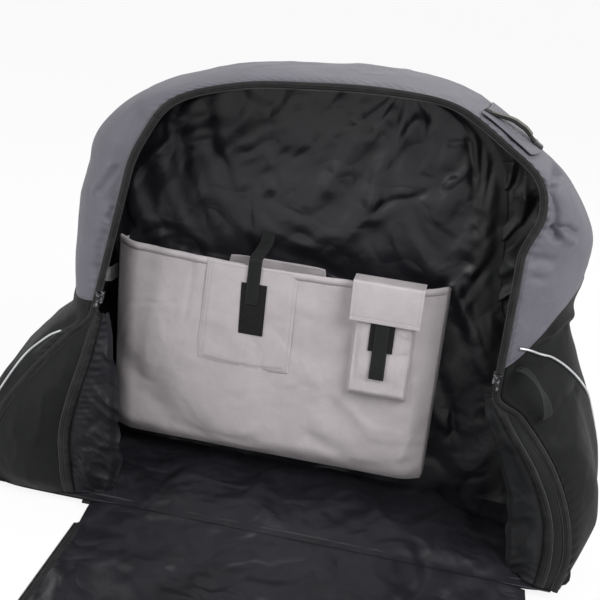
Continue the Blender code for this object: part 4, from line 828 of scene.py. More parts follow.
# the walls' three stretches: where each starts and ends along the outline, and its seed
stretches = {"left": (0, 9.5, 31), "top": (9.5, 15.5, 34), "right": (15.5, 26, 37)}
for side, (tStart, tEnd, seed) in stretches.items():
    wallLining(side, tStart, tEnd, seed)

# folds of the back lining, as x and z, with width and height towards the viewer
backFolds = [
    ([(0.289, 0.825), (0.312, 0.743), (0.325, 0.646)], 0.0060, -0.0060),
    ([(0.308, 0.838), (0.320, 0.783), (0.326, 0.674)], 0.0050, -0.0050),
    ([(0.342, 0.789), (0.338, 0.730), (0.334, 0.690)], 0.0050, -0.0050),
    ([(0.300, 0.830), (0.315, 0.762), (0.326, 0.660)], 0.0055, 0.0060),
    ([(0.326, 0.800), (0.331, 0.750), (0.331, 0.690)], 0.0050, 0.0055),
    ([(0.356, 0.770), (0.350, 0.700), (0.352, 0.600)], 0.0090, 0.0055),
    ([(0.392, 0.640), (0.367, 0.583), (0.346, 0.546)], 0.0065, -0.0055),
    ([(0.380, 0.648), (0.352, 0.595), (0.336, 0.556)], 0.0090, 0.0060),
    ([(0.378, 0.473), (0.372, 0.439), (0.388, 0.393)], 0.0060, -0.0055),
    ([(0.390, 0.468), (0.384, 0.440), (0.398, 0.398)], 0.0070, 0.0050),
    ([(0.306, 0.515), (0.344, 0.444), (0.379, 0.391), (0.399, 0.341)], 0.0120, 0.0080),
    ([(0.304, 0.302), (0.332, 0.238), (0.359, 0.180)], 0.0140, -0.0050),
    ([(-0.360, 0.800), (-0.330, 0.794), (-0.305, 0.788)], 0.0060, 0.0060),
    ([(-0.335, 0.735), (-0.350, 0.712)], 0.0050, 0.0050),
    ([(-0.360, 0.710), (-0.389, 0.671), (-0.414, 0.631)], 0.0070, 0.0070),
    ([(0.251, 0.816), (0.284, 0.824)], 0.0050, -0.0050),
    ([(0.255, 0.730), (0.297, 0.774)], 0.0060, 0.0050),
    ([(0.130, 0.860), (0.060, 0.780), (0.020, 0.690)], 0.0160, 0.0080),
    ([(0.180, 0.850), (0.120, 0.740), (0.110, 0.640)], 0.0120, 0.0070),
    ([(-0.060, 0.880), (-0.110, 0.800), (-0.200, 0.740)], 0.0150, 0.0070),
]


def backCalm(points):
    return (ease(points[..., 0], -0.22, -0.17) * (1 - ease(points[..., 0], 0.03, 0.08))
            * ease(points[..., 2], 0.26, 0.31) * (1 - ease(points[..., 2], 0.50, 0.56)))


v, u = shares(lining["backRows"], lining["backColumns"])
left = outlineAt("backSeam", bag["crown"] * v ** 0.92, lining["backY"])
right = outlineAt("backSeam", bag["last"] - bag["crown"] * v ** 0.92, lining["backY"])
points = between(left, right, between(-0.010, 1.010, u)[..., None])
rim = ease(np.minimum(u, 1 - u) * (right - left)[..., 0], 0.010, 0.045) * ease(1 - v, 0.0, 0.04)
folds = foldsAt(points, (8, 1, 6), 41, 3)
slow = cloudsAt(points, (5, 1, 5), 45, 2)
points[..., 1] = lining["backY"] - lining["backFold"] * rim * np.clip(
    0.35 + 0.8 * folds + 0.4 * slow, 0, 1.6)
held = backCalm(points) > 0.95
points[:-3] = settle(points[:-3], spare=0.040, gravity=0.5, bend=0.7, held=held[:-3])
ahead = lining["reach"] * (0.85 * spread(lining["backY"] - points[..., 1])
                           + 0.22 * foldsAt(points, (9, 1, 5), 43, 2))
for line, width, height in backFolds:
    ahead = ahead + height * creaseAt(points, line, width * 1.2)
ahead = np.clip(ahead, 0, lining["reach"] * 1.05) * (0.12 + 0.88 * ease(rim, 0, 1))
points[..., 1] = lining["backY"] - ahead * (1 - 0.85 * backCalm(points))
backSheet = points
# right of this line, as z and x, the satin catches more light
edgeZ, edgeX = np.array([(0.0, 0.45), (0.31, 0.416), (0.392, 0.385), (0.509, 0.349),
                         (0.546, 0.346), (0.660, 0.323), (0.768, 0.298), (0.874, 0.276),
                         (1.0, 0.25)]).T
# painted light: the lighter, rougher lining colour is mixed in right of this line
facing = ease(points[..., 0] - np.interp(points[..., 2], edgeZ, edgeX), -0.012, 0.012)
piece = makeCloth("backLiningCloth", points, "blackLining", 0.0010, facing=facing, smooth=1)
dress(["back_lining"], ["back_wall_upper"])
print("lining hung")


def backLiningY(points):
    flat = backSheet.reshape(-1, 3)
    found = np.empty(points.shape[:-1])
    for index in np.ndindex(found.shape):
        apart = (flat[:, 0] - points[index][0]) ** 2 + (flat[:, 2] - points[index][2]) ** 2
        found[index] = flat[apart.argmin(), 1]
    return found


# floor of the bag: lining over the board, and the outer bottom
floorCloth = {"rows": 56, "columns": 180, "fold": 0.009, "top": 0.0105, "base": 0.0285,
              "x": (-0.590, 0.590), "y": (-0.150, 0.134), "ahead": 0.0050, "drop": 0.0060}
v, u = shares(floorCloth["rows"], floorCloth["columns"])
points = sheetOf(between(*floorCloth["x"], u), between(*floorCloth["y"], v), floorCloth["base"])
free = (hump(u) * np.clip(hump(v), 0.03, 1)) ** 0.5
points[..., 2] += floorCloth["fold"] * free * np.clip(
    0.25 + 0.8 * foldsAt(points, (7, 9, 1), 51, 3) + 0.5 * cloudsAt(points, 7, 55, 2),
    0, 2)
points = settle(points, spare=0.035, gravity=0.0, bend=0.8)
rise = spread(points[..., 2]) * ease(v, 0.0, 0.16) * ease(np.minimum(u, 1 - u), 0.0, 0.03)
points[..., 2] = floorCloth["base"] + floorCloth["top"] * rise
points[..., 1] -= floorCloth["ahead"] * (1 - ease(v, 0.0, 0.12))
points[..., 2] -= floorCloth["drop"] * (1 - ease(v, 0.0, 0.16)) ** 1.2
piece = makeCloth("floorLiningCloth", points, "blackLining", 0.0012, True, smooth=1)
dress(["base_lining"], ["base_board"])

low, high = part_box("bottom_panel")
bm = bmesh.new()
bmesh.ops.create_grid(bm, x_segments=60, y_segments=16, size=1)
for vert in bm.verts:
    x, y = vert.co.x, vert.co.y
    reach = max(abs(x), abs(y))
    vert.co.x = (low.x + high.x) / 2 + (high.x - low.x) / 2 * x * (1 - 0.045 * abs(y) ** 8)
    vert.co.y = (low.y + high.y) / 2 + (high.y - low.y) / 2 * y * (1 - 0.20 * abs(x) ** 24)
    vert.co.z = high.z
mesh = meshFrom(bm, "bottomCloth")
mesh.uv_layers.new(name="cloth")
mark(mesh, "hem", np.full(len(mesh.vertices), 0.05))
piece = dressMesh("bottomCloth", mesh, "blackShell")
thicken(piece, high.z - low.z)
rounded = piece.modifiers.new("rounded", "BEVEL")
rounded.width = 0.0016
rounded.segments = 2
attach(piece, "shell")
dress(["bottom_panel"])
print("floor laid")

# front corners that stay zipped to the ends
corner = {"rows": 44, "columns": 120, "bulge": 0.026, "tuck": 0.020, "fold": 0.0065, "turn": 0.86}


# each mouth's start and end along the outline, and its seed
mouths = {"left": (0, 5, 61), "right": (21, 26, 65)}


def cornerPoints(side, share, u):
    tStart, tEnd, seed = mouths[side]
    t = between(tStart, tEnd, u)
    start = zipEdgeAt(t) + inwardAt(t) * 0.010
    end = outlineAt(side + "Mouth", t - tStart, start[..., 1])
    points = between(start, end, within(share, 0, corner["turn"])[..., None])
    width = np.linalg.norm(end - start, axis=-1)
    bulge = corner["bulge"] * np.clip(width / 0.11, 0, 1) * ease(points[..., 2], 0.0, 0.06)
    crown = hump(np.clip(share / 0.93, 0, 1)) ** 1.1
    points[..., 1] -= bulge * crown
    past = ease(share, corner["turn"], 1.0)
    points[..., 1] += corner["tuck"] * past * ease(width, 0.0, 0.03)
    folds = foldsAt(points, (10, 4, 5), seed, 3)
    slow = cloudsAt(points, (8, 8, 5), seed + 4, 2)
    points[..., 1] -= corner["fold"] * crown * (0.9 * folds + 0.8 * slow) * ease(width, 0.01, 0.06)
    points[..., 2] = np.maximum(points[..., 2], bag["baseZ"])
    return points, width


for side in mouths:
    points, _ = cornerPoints(side, *shares(corner["rows"], corner["columns"]))
    piece = makeCloth(side + "CornerCloth", points, "blackShell", 0.0025)
    dress(["front_corner_" + side])


def zipTape(side, tStart, tEnd):
    v, u = shares(zipLook["rows"], int(zipLook["columnsEach"] * (tEnd - tStart)))
    t = between(tStart, tEnd, u)
    turnAt = zipLook["outer"] / (zipLook["outer"] + zipLook["inner"])
    outward = zipLook["outer"] * (1 - v / turnAt)
    s = frontShareFor(t, np.maximum(outward, 0))
    outer = skinAt(t, s)
    outer[..., 1] -= zipLook["lift"]
    edge = zipEdgeAt(t)
    edge[..., 1] -= zipLook["lift"]
    inner = edge + inwardAt(t) * (zipLook["inner"] * within(v, turnAt, 1))[..., None]
    points = np.where((v < turnAt)[..., None], outer, inner)
    points[..., 1] += 0.0018 * ease(v, 0.5, 1.0)
    points[..., 1] -= puckerAt(points, zipLook["pucker"])
    piece = makeCloth(side + "ZipTape", points, "zipTape", 0.0012)
    dress(["zip_track_" + side], ["gusset_top"])


for side, (tStart, tEnd, _) in stretches.items():
    zipTape(side, tStart, tEnd)


def coilTeeth(name, path, sideways, up=(0.0, -1.0, 0.0), body="shell"):
    run = np.r_[0, stepsOf(path).cumsum()]
    count = int(run[-1] / zipLook["pitch"])
    places = (np.arange(count) + 0.5) * zipLook["pitch"]
    centres = pick(path, run, places)
    sides = unit(pick(sideways, run, places))
    up = np.array(up)
    bm = bmesh.new()
    wide, long, tall = zipLook["tooth"]
    for centre, side in zip(centres, sides):
        ahead = np.cross(side, up)
        turn = Matrix((side * wide, ahead * long, up * tall)).transposed().to_4x4()
        bmesh.ops.create_icosphere(bm, subdivisions=1, radius=0.62,
                                   matrix=Matrix.Translation(centre) @ turn)
    piece = dressMesh(name, meshFrom(bm, name), "coilNylon")
    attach(piece, body)
    dress()


t = np.linspace(0.02, 25.98, 900)
inward = inwardAt(t)
coilTeeth("bodyZipTeeth", zipEdgeAt(t) + inward * zipLook["coilIn"]
          - np.array([0, zipLook["coilAhead"], 0]), inward)

# the zip's other half on both edges of the mouth, and the lining that rolls out beside it
mouthZip = {"tape": 0.019, "lift": 0.0022, "wave": 0.017, "swing": 0.0011, "rows": 10,
            "columns": 150, "coilAhead": 0.0006}


def mouthTape(side):
    v = np.linspace(0, 1, mouthZip["rows"])[:, None]
    u = np.linspace(0.015, 0.985, mouthZip["columns"])[None, :]
    _, width = cornerPoints(side, v, u)
    back = np.minimum(mouthZip["tape"] / np.maximum(width, 0.001), 0.85)
    share = corner["turn"] * (1 - back * (1 - v)) + 0.03 * v
    points, _ = cornerPoints(side, share, u)
    points[..., 1] -= mouthZip["lift"]
    run = runAcross(points)
    points[..., 1] -= mouthZip["swing"] * ease(v, 0.3, 1.0) * np.sin(
        run / mouthZip["wave"] * 2 * math.pi + 4 * noiseAt(points, 8, mouths[side][2]))
    piece = makeCloth(side + "MouthTape", points, "zipTape", 0.0012)
    dress((), [side + "CornerCloth"])
    coilTeeth(side + "MouthTeeth", points[-1] - np.array([0, mouthZip["coilAhead"], 0]),
              unit(points[-1] - points[-2]))


for side in mouths:
    mouthTape(side)

roll = {"depth": 0.036, "rows": 60, "columns": 110, "lowest": 0.0284, "wave": 0.0150,
        "fine": 0.0028, "fineReach": 0.022, "fold": 0.0105, "back": 0.0020, "curl": 0.014,
        # painted light: each side's share of the lining's lighter colour, more on the right roll
        # than on the left
        "left": {"inwards": 1, "seed": 131, "facing": 0.15,
                 "widths": (0.070, 0.095, 0.090, 0.070, 0.036, 0.006)},
        "right": {"inwards": -1, "seed": 137, "facing": 0.65,
                  "widths": (0.006, 0.036, 0.060, 0.068, 0.070, 0.058)}}


def rolledLining(side):
    inwards, seed, widths = (roll[side][key] for key in ("inwards", "seed", "widths"))
    v = np.linspace(0, 1, roll["rows"])[:, None]
    m = np.linspace(0, 5, roll["columns"])[None, :]
    width = tableAt(widths, m) * (1 + 0.07 * noiseAt(sheetOf(m * 3, 0, 0), 1, seed))
    edgeY = zipEdgeAt(mouths[side][0] + m)[..., 1]
    points = outlineAt(side + "Mouth", m + 0 * v, edgeY)
    points[..., 0] += inwards * (0.0003 + width * v)
    points[..., 1] += roll["depth"] * ease(v, 0, 1) * width / max(widths)
    points[..., 2] = np.maximum(points[..., 2], roll["lowest"])
    apart = width * v
    fine = bell(apart, 0, roll["fineReach"]) * ease(apart, 0.0, 0.004)
    run = runAcross(points)
    waves = np.sin(run[:1] / roll["wave"] * 2 * math.pi + 6.0 * noiseAt(points, 9, seed)) \
        * np.clip(0.4 + 0.9 * noiseAt(points, 13, seed + 7), 0.05, 1)
    lean = points.copy()
    lean[..., 2] += 0.9 * apart
    long = foldsAt(lean, (6, 6, 15), seed + 2, 3)
    free = ease(apart, 0.004, 0.03)
    points[..., 1] -= roll["fine"] * fine * waves
    points[..., 1] -= roll["fold"] * free * np.clip(0.3 + long, -0.4, 1.1)
    points[..., 1] += roll["back"] + roll["curl"] * ease(v, 0.80, 1.0)
    piece = makeCloth(side + "RolledLining", points, "rolledLining", 0.0012, inwards < 0,
                      facing=roll[side]["facing"])
    dress(["corner_lining_" + side], [side + "CornerCloth"])


for side in mouths:
    rolledLining(side)
print("zip sewn")

# wheel pocket: front, side walls and bottom in one cloth
pocket = {"left": -0.4065, "right": 0.2974, "bottom": 0.080, "top": 0.5400, "frontY": 0.0350,
          "edgeY": 0.0600, "backY": 0.1330, "ramp": 0.050, "sag": 0.013, "sideDip": 0.024,
          "columns": 200, "rows": 130, "swell": 0.006, "slow": 0.0030, "fold": 0.0016,
          "hemWave": 0.0008, "foremost": 0.0352, "ahead": 0.0045}


def sideProfile(count):
    # how far a cloth has come round a pocket's edge: offset from the edge, and depth share
    wall = pocket["backY"] - pocket["edgeY"]
    depth = pocket["backY"] - pocket["frontY"]
    run = np.linspace(0, 1, count) * (wall + pocket["ramp"])
    offset = np.where(run < wall, 0.004 * (run / wall) ** 3, 0.004 + (run - wall))
    share = np.where(run < wall, run / depth,
                     wall / depth + (1 - wall / depth)
                     * np.sin(np.clip((run - wall) / pocket["ramp"], 0, 1) * math.pi / 2))
    return offset, share


def pocketGrid():
    offset, share = sideProfile(44)
    middle = np.linspace(0, 1, pocket["columns"] - 88 + 2)[1:-1]
    innerLeft = pocket["left"] + offset[-1]
    innerRight = pocket["right"] - offset[-1]
    x = np.r_[pocket["left"] + offset, innerLeft + (innerRight - innerLeft) * middle,
              (pocket["right"] - offset)[::-1]]
    gx = np.r_[share, np.ones(len(middle)), share[::-1]]
    middleZ = np.linspace(0, 1, pocket["rows"] - 44 + 1)[1:]
    innerLow = pocket["bottom"] + offset[-1]
    zShare = np.r_[offset, offset[-1] + (pocket["top"] - innerLow) * middleZ]
    gz = np.r_[share, np.ones(len(middleZ))]
    return x[None, :], pocket["bottom"] + zShare[:, None], gz[:, None] * gx[None, :]


x, z, depth = pocketGrid()
along = hump(within(x, pocket["left"], pocket["right"]))
topDip = pocket["sag"] * along
topDip = topDip + pocket["sideDip"] * (1 - ease(depth, 0.10, 0.80))
rise = within(z, pocket["bottom"], pocket["top"])
z = z - topDip * rise ** 3
points = sheetOf(x, between(pocket["backY"], pocket["frontY"], depth), z)
inner = ease(depth, 0.55, 0.98)
puff = pocket["swell"] * along * (1 - rise) ** 0.5
slow = cloudsAt(points, (6, 6, 6), 71, 2)
folds = foldsAt(points, (7, 7, 4), 75, 2)
pocketFolds = [
    ([(0.05, 0.16), (0.16, 0.11), (0.26, 0.13)], 0.020, -0.0040),
    ([(-0.37, 0.26), (-0.30, 0.18), (-0.20, 0.12)], 0.030, -0.0060),
    ([(-0.300, 0.50), (-0.310, 0.36), (-0.325, 0.22)], 0.022, 0.0035),
    ([(-0.232, 0.525), (-0.238, 0.440), (-0.246, 0.380)], 0.006, -0.0022),
    ([(-0.265, 0.130), (-0.180, 0.118), (-0.080, 0.122)], 0.016, -0.0035),
    ([(0.100, 0.270), (0.180, 0.200), (0.270, 0.190)], 0.014, 0.0030),
    ([(0.255, 0.330), (0.262, 0.240), (0.250, 0.150)], 0.012, 0.0030),
    ([(0.020, 0.330), (0.060, 0.270), (0.070, 0.180)], 0.018, 0.0025),
]
hemPull = ease(rise, 0.90, 1.0)
move = pocket["slow"] * slow + pocket["fold"] * folds
for line, width, height in pocketFolds:
    move = move + height * creaseAt(points, line, width)
move = move * (1 - 0.6 * hemPull) - pocket["hemWave"] * np.sin(x / 0.011) * hemPull
points[..., 1] -= (puff * 0.4 + move) * inner
foremost = pocket["foremost"] - pocket["ahead"] * inner
points[..., 1] = np.where(inner > 0, np.maximum(points[..., 1], foremost), points[..., 1])
piece = makeCloth("wheelPocketCloth", points, "pocketCloth", 0.0014)
dress(["wheel_pocket_front", "wheel_pocket_gusset", "pocket_top_binding"],
      ["back_wall_upper"])
pocketFace = points

# binding folded over the pocket's mouth
mouthLine = pocketFace[-1, 6:-6]
bind = {"drop": 0.013, "thick": 0.0016}
profile = [(-bind["thick"], -bind["drop"]), (-bind["thick"] * 1.2, -bind["drop"] * 0.5),
           (-bind["thick"] * 1.2, 0.0), (-bind["thick"] * 0.4, 0.0014), (0.0014, 0.0014),
           (0.0028, 0.0), (0.0030, -bind["drop"] * 0.5), (0.0028, -bind["drop"])]
binding = np.stack([mouthLine + np.array([0.0, dy, dz]) for dy, dz in profile])
piece = makeCloth("pocketBinding", binding, "pocketCloth", 0.0008)
dress((), ["wheelPocketCloth"])
print("wheel pocket sewn")


# flat pieces sewn on the wheel pocket
def sewnPatch(name, node, baseY, paintName, seed, size, thickness, taper=0.0,
              body="shell", rests="wheelPocketCloth"):
    low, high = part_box(node)
    v, u = shares(*size)
    x = between(low.x, high.x, u) + taper * (1 - v) * (0.5 - u)
    dome = patchPuff * (hump(u) * hump(v)) ** 0.45
    points = sheetOf(x, baseY - dome, between(low.z, high.z, v))
    points[..., 1] -= 0.35 * foldsAt(points, (16, 1, 12), seed, 2) * dome
    piece = makeCloth(name, points, paintName, thickness, body=body)
    dress([node], [rests])


patchPuff = 0.0006
flatPocket = {"over": 0.012, "frontY": 0.0332, "slant": 0.014, "sag": 0.006, "wide": 0.19,
              "tall": 0.23, "puff": 0.0038, "seam": 0.008, "twinAt": 0.010,
              "twinWide": 0.0016, "twin": 0.0010, "pleatsX": (-0.112, -0.070),
              "pleatTall": 0.055, "pleat": 0.0008, "cloud": 0.0012}
low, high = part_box("centre_pocket")
v, u = shares(96, 90)
x = between(low.x, high.x, u) - flatPocket["slant"] * (1 - v) * (1 - 0.9 * u)
z = between(low.z, high.z + flatPocket["over"], v) - flatPocket["sag"] * hump(u) * (1 - v)
points = sheetOf(x, flatPocket["frontY"], z)
edge = np.minimum(np.minimum(u, 1 - u) * flatPocket["wide"], v * flatPocket["tall"])
stitched = 1 - bell(edge, 0, flatPocket["seam"])
twin = flatPocket["twin"] * bell(edge, flatPocket["twinAt"], flatPocket["twinWide"])
pleatTop = low.z + flatPocket["pleatTall"]
pleats = sum(creaseAt(points, [(x, low.z), (x + 0.003, pleatTop)], 0.0045)
             for x in flatPocket["pleatsX"])
points[..., 1] -= flatPocket["puff"] * stitched * (0.55 + 0.45 * hump(u)) - twin
points[..., 1] += flatPocket["pleat"] * pleats * bell(v, 0, 0.22)
points[..., 1] -= flatPocket["cloud"] * cloudsAt(points, (14, 1, 14), 81, 2) * stitched
piece = makeCloth("centrePocketCloth", points, "pocketCloth", 0.0012)
dress(["centre_pocket"], ["wheelPocketCloth"])

low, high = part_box("centre_hook_patch")
sewnPatch("centreHookTape", "centre_hook_patch", low.y - 0.0010, "hookTape", 83,
          (40, 20), 0.0016, 0.002)

# strap that holds the pocket's mouth
rootLow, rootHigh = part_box("wheel_strap_root")
endLow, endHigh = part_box("wheel_strap_end")
strap = {"width": rootHigh.x - rootLow.x, "middle": (rootLow.x + rootHigh.x) / 2}


def strapCloth(name, line, widthScale, body, node, seed, rests, lean=0.0):
    line = np.asarray(line, float)
    run = np.r_[0, stepsOf(line).cumsum()]
    places = np.linspace(0, run[-1], 60)
    middle = pick(line, run, places)
    soften(middle, 3)
    u = np.linspace(-0.5, 0.5, 13)[None, :]
    points = middle[:, None] + np.array([strap["width"] * widthScale, 0, 0]) * u[..., None]
    points[..., 0] += lean * (places / run[-1])[:, None]
    points[..., 1] -= 0.0006 * noiseAt(points, 40, seed)
    piece = makeCloth(name, points, "strapWeb", 0.0016, True, body)
    dress([node], [rests])


x = strap["middle"]
rootLine = [(x, 0.1315, rootHigh.z), (x, 0.1305, 0.568), (x, 0.118, 0.5525),
            (x, 0.080, 0.5490), (x, 0.045, 0.5492), (x, 0.0300, 0.5480)]
strapCloth("strapRootWeb", rootLine, 1.0, "shell", "wheel_strap_root", 91,
           "wheelPocketCloth")
endLine = [(x, 0.0285, 0.5484), (x, 0.0255, 0.5440), (x, 0.0256, 0.5200), (x, 0.0262, 0.4900),
           (x, 0.0266, endLow.z)]
strapCloth("strapEndWeb", endLine, 0.98, "wheel_strap", "wheel_strap_end", 93,
           "centreHookTape", lean=-0.004)

# tool pocket with bellows sides, its lid, tab and hook tape
tool = {"sideRun": 0.16, "bottomRun": 0.13, "inset": 0.006, "hem": 0.001, "dimple": 0.0045,
        "belly": 0.0030, "fold": 0.0015, "ahead": 0.0006}
bodyLow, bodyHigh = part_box("tool_pocket_body")
v, u = shares(90, 120)
sideRun = tool["sideRun"]
gx = ease(u, 0, sideRun) * (1 - ease(u, 1 - sideRun, 1))
gz = ease(v, 0, tool["bottomRun"])
inset = tool["inset"] * (hump(within(u, 0, sideRun)) - hump(within(1 - u, 0, sideRun)))
across = within(u, 0.6 * sideRun, 1 - 0.6 * sideRun)
points = sheetOf(between(bodyLow.x + tool["hem"], bodyHigh.x - tool["hem"], across) + inset,
                 between(bodyHigh.y, bodyLow.y + tool["hem"], gx * gz),
                 between(bodyLow.z + tool["hem"], bodyHigh.z, within(v, 0.06, 1)))
dimples = bell(across, 0.10, 0.05) + bell(across, 0.90, 0.05)
points[..., 1] += tool["dimple"] * dimples * bell(v, 0.42, 0.22) * gz
points[..., 1] += tool["belly"] * bell(v, 0.22, 0.08) * hump(across) * gz
points[..., 1] += tool["fold"] * foldsAt(points, (20, 1, 16), 95, 2) * gx * gz
points[..., 1] = np.maximum(points[..., 1], bodyLow.y + tool["ahead"])
piece = makeCloth("toolPocketCloth", points, "pocketCloth", 0.0012)
dress(["tool_pocket_body"], ["wheelPocketCloth"])

low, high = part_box("tool_hook_patch")
sewnPatch("toolHookTape", "tool_hook_patch", low.y + 0.0008, "hookTape", 97,
          (20, 16), 0.0014, rests="toolPocketCloth")

lid = {"topRun": 0.30, "side": 0.0008, "thin": 0.0006, "cloud": 0.0010, "hem": 0.0007}
low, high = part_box("tool_pocket_flap")
v, u = shares(70, 60)
topRun = lid["topRun"]
fall = ease(v, topRun * 0.7, topRun * 1.35)
points = sheetOf(between(low.x + lid["side"], high.x - lid["side"], u),
                 between(high.y, low.y + lid["thin"], within(v, 0, topRun)),
                 between(high.z, low.z, within(v, topRun, 1)) - lid["thin"])
soften(points, 4)
points[..., 1] -= lid["cloud"] * cloudsAt(points, (18, 1, 18), 99, 2) * fall
points[..., 1] = np.maximum(points[..., 1], low.y)
hemStep = bell(v, 0.93, 0.012) + bell(u, 0.045, 0.012) + bell(u, 0.955, 0.012)
points[..., 1] += lid["hem"] * hemStep * fall
piece = makeCloth("toolLidCloth", points, "pocketCloth", 0.0012, True, "tool_flap")
dress(["tool_pocket_flap"], ["toolPocketCloth"])

low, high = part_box("tool_flap_tab")
sewnPatch("toolTabWeb", "tool_flap_tab", high.y - 0.0008, "strapWeb", 101, (50, 14),
          0.0012, -0.002, "tool_flap", "toolHookTape")
print("pockets sewn")

# light patch behind the pocket's mouth, and the blank tag
guard = {"cut": 0.03, "ahead": 0.0020, "backmost": 0.1322}
low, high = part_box("hub_guard")
v, u = shares(60, 60)
cutX = guard["cut"] * (0.5 - u) * np.abs(2 * v - 1) ** 9
cutZ = guard["cut"] * (0.5 - v) * np.abs(2 * u - 1) ** 9
points = sheetOf(between(low.x, high.x, u + cutX), 0.0, between(low.z, high.z, v + cutZ))
points[..., 1] = np.minimum(backLiningY(points) - guard["ahead"], guard["backmost"])
piece = makeCloth("hubGuardCloth", points, "pocketCloth", 0.0014)
dress(["hub_guard"], ["backLiningCloth"])

tag = {"curl": 0.0040, "droop": 0.0030, "ripple": 0.0016, "inset": 0.0008, "ahead": 0.0003}
low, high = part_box("blank_tag")
v, u = shares(20, 24)
points = sheetOf(between(high.x - tag["inset"], low.x, u),
                 between(high.y, low.y, u) - tag["ahead"], between(low.z, high.z, v))
points[..., 0] += tag["curl"] * np.sin(5.0 * u) * u * (1 - 0.4 * v)
points[..., 2] += tag["droop"] * np.sin(6.0 * u + 1.0) * u
points[..., 0] += tag["ripple"] * np.sin(9.0 * v + 5.0 * u) * u
piece = makeCloth("blankTagCloth", points, "tagCloth", 0.0006)
dress(["blank_tag"], ["backLiningCloth"])

# front wall lying forward, lining side up
wall = {"hingeY": -0.1603, "hingeZ": 0.0165, "end": 0.9030, "outerEnd": 0.9110,
        "liningEnd": 0.9130, "split": 0.440, "rows": 120, "columns": 110, "fold": 0.012,
        "top": 0.017, "edge": 0.004, "neck": 0.015, "neckBlend": 0.030, "outer": 0.0010,
        "first": 0.0005, "round": 0.035, "under": 0.0062, "ramp": 0.0125, "outerRamp": 0.0115,
        "bend": {"start": (0, -0.156, 0.0165), "end": (0, -0.172, 0.0165)}}


def crossingX(name, tFirst, tLast, z):
    t = np.linspace(tFirst, tLast, 400)
    line = outlineAt(name, t, 0.0)
    order = np.argsort(line[:, 2])
    return np.interp(z, line[order, 2], line[order, 0])


def wallEdges(reach):
    z = reach + wall["hingeZ"]
    mouthTop = bag["baseZ"] + bag["leftMouth"][-1][1] * bag["height"]
    lowLeft = max(pair[0] for pair in bag["leftMouth"]) * bag["halfLength"] + wall["neck"]
    lowRight = crossingX("rightMouth", 0, 5, z) - wall["neck"]
    wide = ease(z, mouthTop + wall["neckBlend"] / 2, mouthTop + wall["neckBlend"] * 1.5)
    left = crossingX("zipEdge", 5, 13, z) + wall["edge"]
    right = crossingX("zipEdge", 13, 21, z) - wall["edge"]
    return between(lowLeft, left, wide), between(lowRight, right, wide)


def wallGrid(first, last, rows, columns):
    reach = np.linspace(first, last, rows)
    leftX, rightX = wallEdges(reach)
    v = reach[:, None]
    u = np.linspace(0, 1, columns)[None, :]
    x = between(leftX[:, None], rightX[:, None], u)
    roundEnd = wall["round"] * (np.abs(2 * u - 1) ** 3) * ease(v, wall["end"] * 0.80, wall["end"])
    return sheetOf(x, wall["hingeY"] - v + roundEnd, 0.0), v, u


points, v, u = wallGrid(wall["first"], wall["liningEnd"], wall["rows"], wall["columns"])
ramp = 1 - ease(v, 0, 0.09)
edge = np.minimum(np.minimum(u, 1 - u) * 0.85, wall["liningEnd"] - v)
free = ease(edge, 0.004, 0.05) * ease(v, 0.0, 0.06)
folds = foldsAt(points, (5, 6, 1), 111, 4)
slow = cloudsAt(points, (4, 4, 1), 115, 2)
under = wall["under"] + 0.0040 * ease(edge, 0.0, 0.02) + ramp * wall["ramp"]
points[..., 2] = under + wall["fold"] * free * np.clip(0.35 + 0.75 * folds + 0.5 * slow, 0, 1.9)
points = settle(points, spare=0.030, gravity=0.0, bend=1.2)
points[..., 2] = under + wall["top"] * spread(points[..., 2] - under) * ease(edge, 0.004, 0.07)
liningPiece = makeCloth("frontWallLining", points, "blackLining", 0.0012, True, body=None)
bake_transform(liningPiece)
dress(["front_flap_lining"],
      ["front_flap_lower", "front_flap_upper"])


def wallOuter(name, first, last, paintName, node, rows):
    points, v, _ = wallGrid(first, last, rows, 60)
    points[..., 2] = wall["outer"] + (1 - ease(v, 0, 0.07)) * wall["outerRamp"]
    piece = makeCloth(name, points, paintName, 0.0022, False, body=None)
    piece.modifiers["thickness"].offset = 1
    if first < 0.05:
        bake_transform(piece)
    else:
        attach(piece, "front_flap")
    dress([node])


wallOuter("frontWallBlack", wall["first"], wall["split"], "blackShell", "front_flap_lower",
          60)
wallOuter("frontWallGrey", wall["split"], wall["outerEnd"], "greyShell", "front_flap_upper",
          50)

# its half of the zip
flapZip = {"from": 0.062, "inner": -0.010, "outer": 0.0110, "high": 0.0082, "low": 0.0042}
grid, _, _ = wallGrid(flapZip["from"], wall["outerEnd"], 220, 60)
rim = np.concatenate([grid[:, 0], grid[-1, 1:-1], grid[::-1, -1]])
soften(rim, 8)
ahead = unit(np.gradient(rim, axis=0))
outward = sheetOf(ahead[:, 1], -ahead[:, 0], 0)
across = np.linspace(flapZip["inner"], flapZip["outer"], 9)
points = rim[None] + outward[None] * across[:, None, None]
points[..., 2] = between(flapZip["high"], flapZip["low"], ease(across, -0.002, 0.008))[:, None]
piece = makeCloth("frontWallZipTape", points, "zipTape", 0.0012, True, "front_flap")
dress(["zip_track_flap"], ["front_flap_upper"])
coilTeeth("frontWallZipTeeth", points[-1] + np.array([0, 0, 0.0006]), outward, (0.0, 0.0, 1.0),
          "front_flap")

low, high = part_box("front_seam_cord")
line = np.linspace(low.x, high.x, 60)
line = sheetOf(line, wall["hingeY"] - 0.0004 * np.sin(line * 40), wall["hingeZ"])
cord = makeTube("baseSeamCord", line, 0.0040, "blackShell")
dress(["front_seam_cord"])
print("front wall laid")

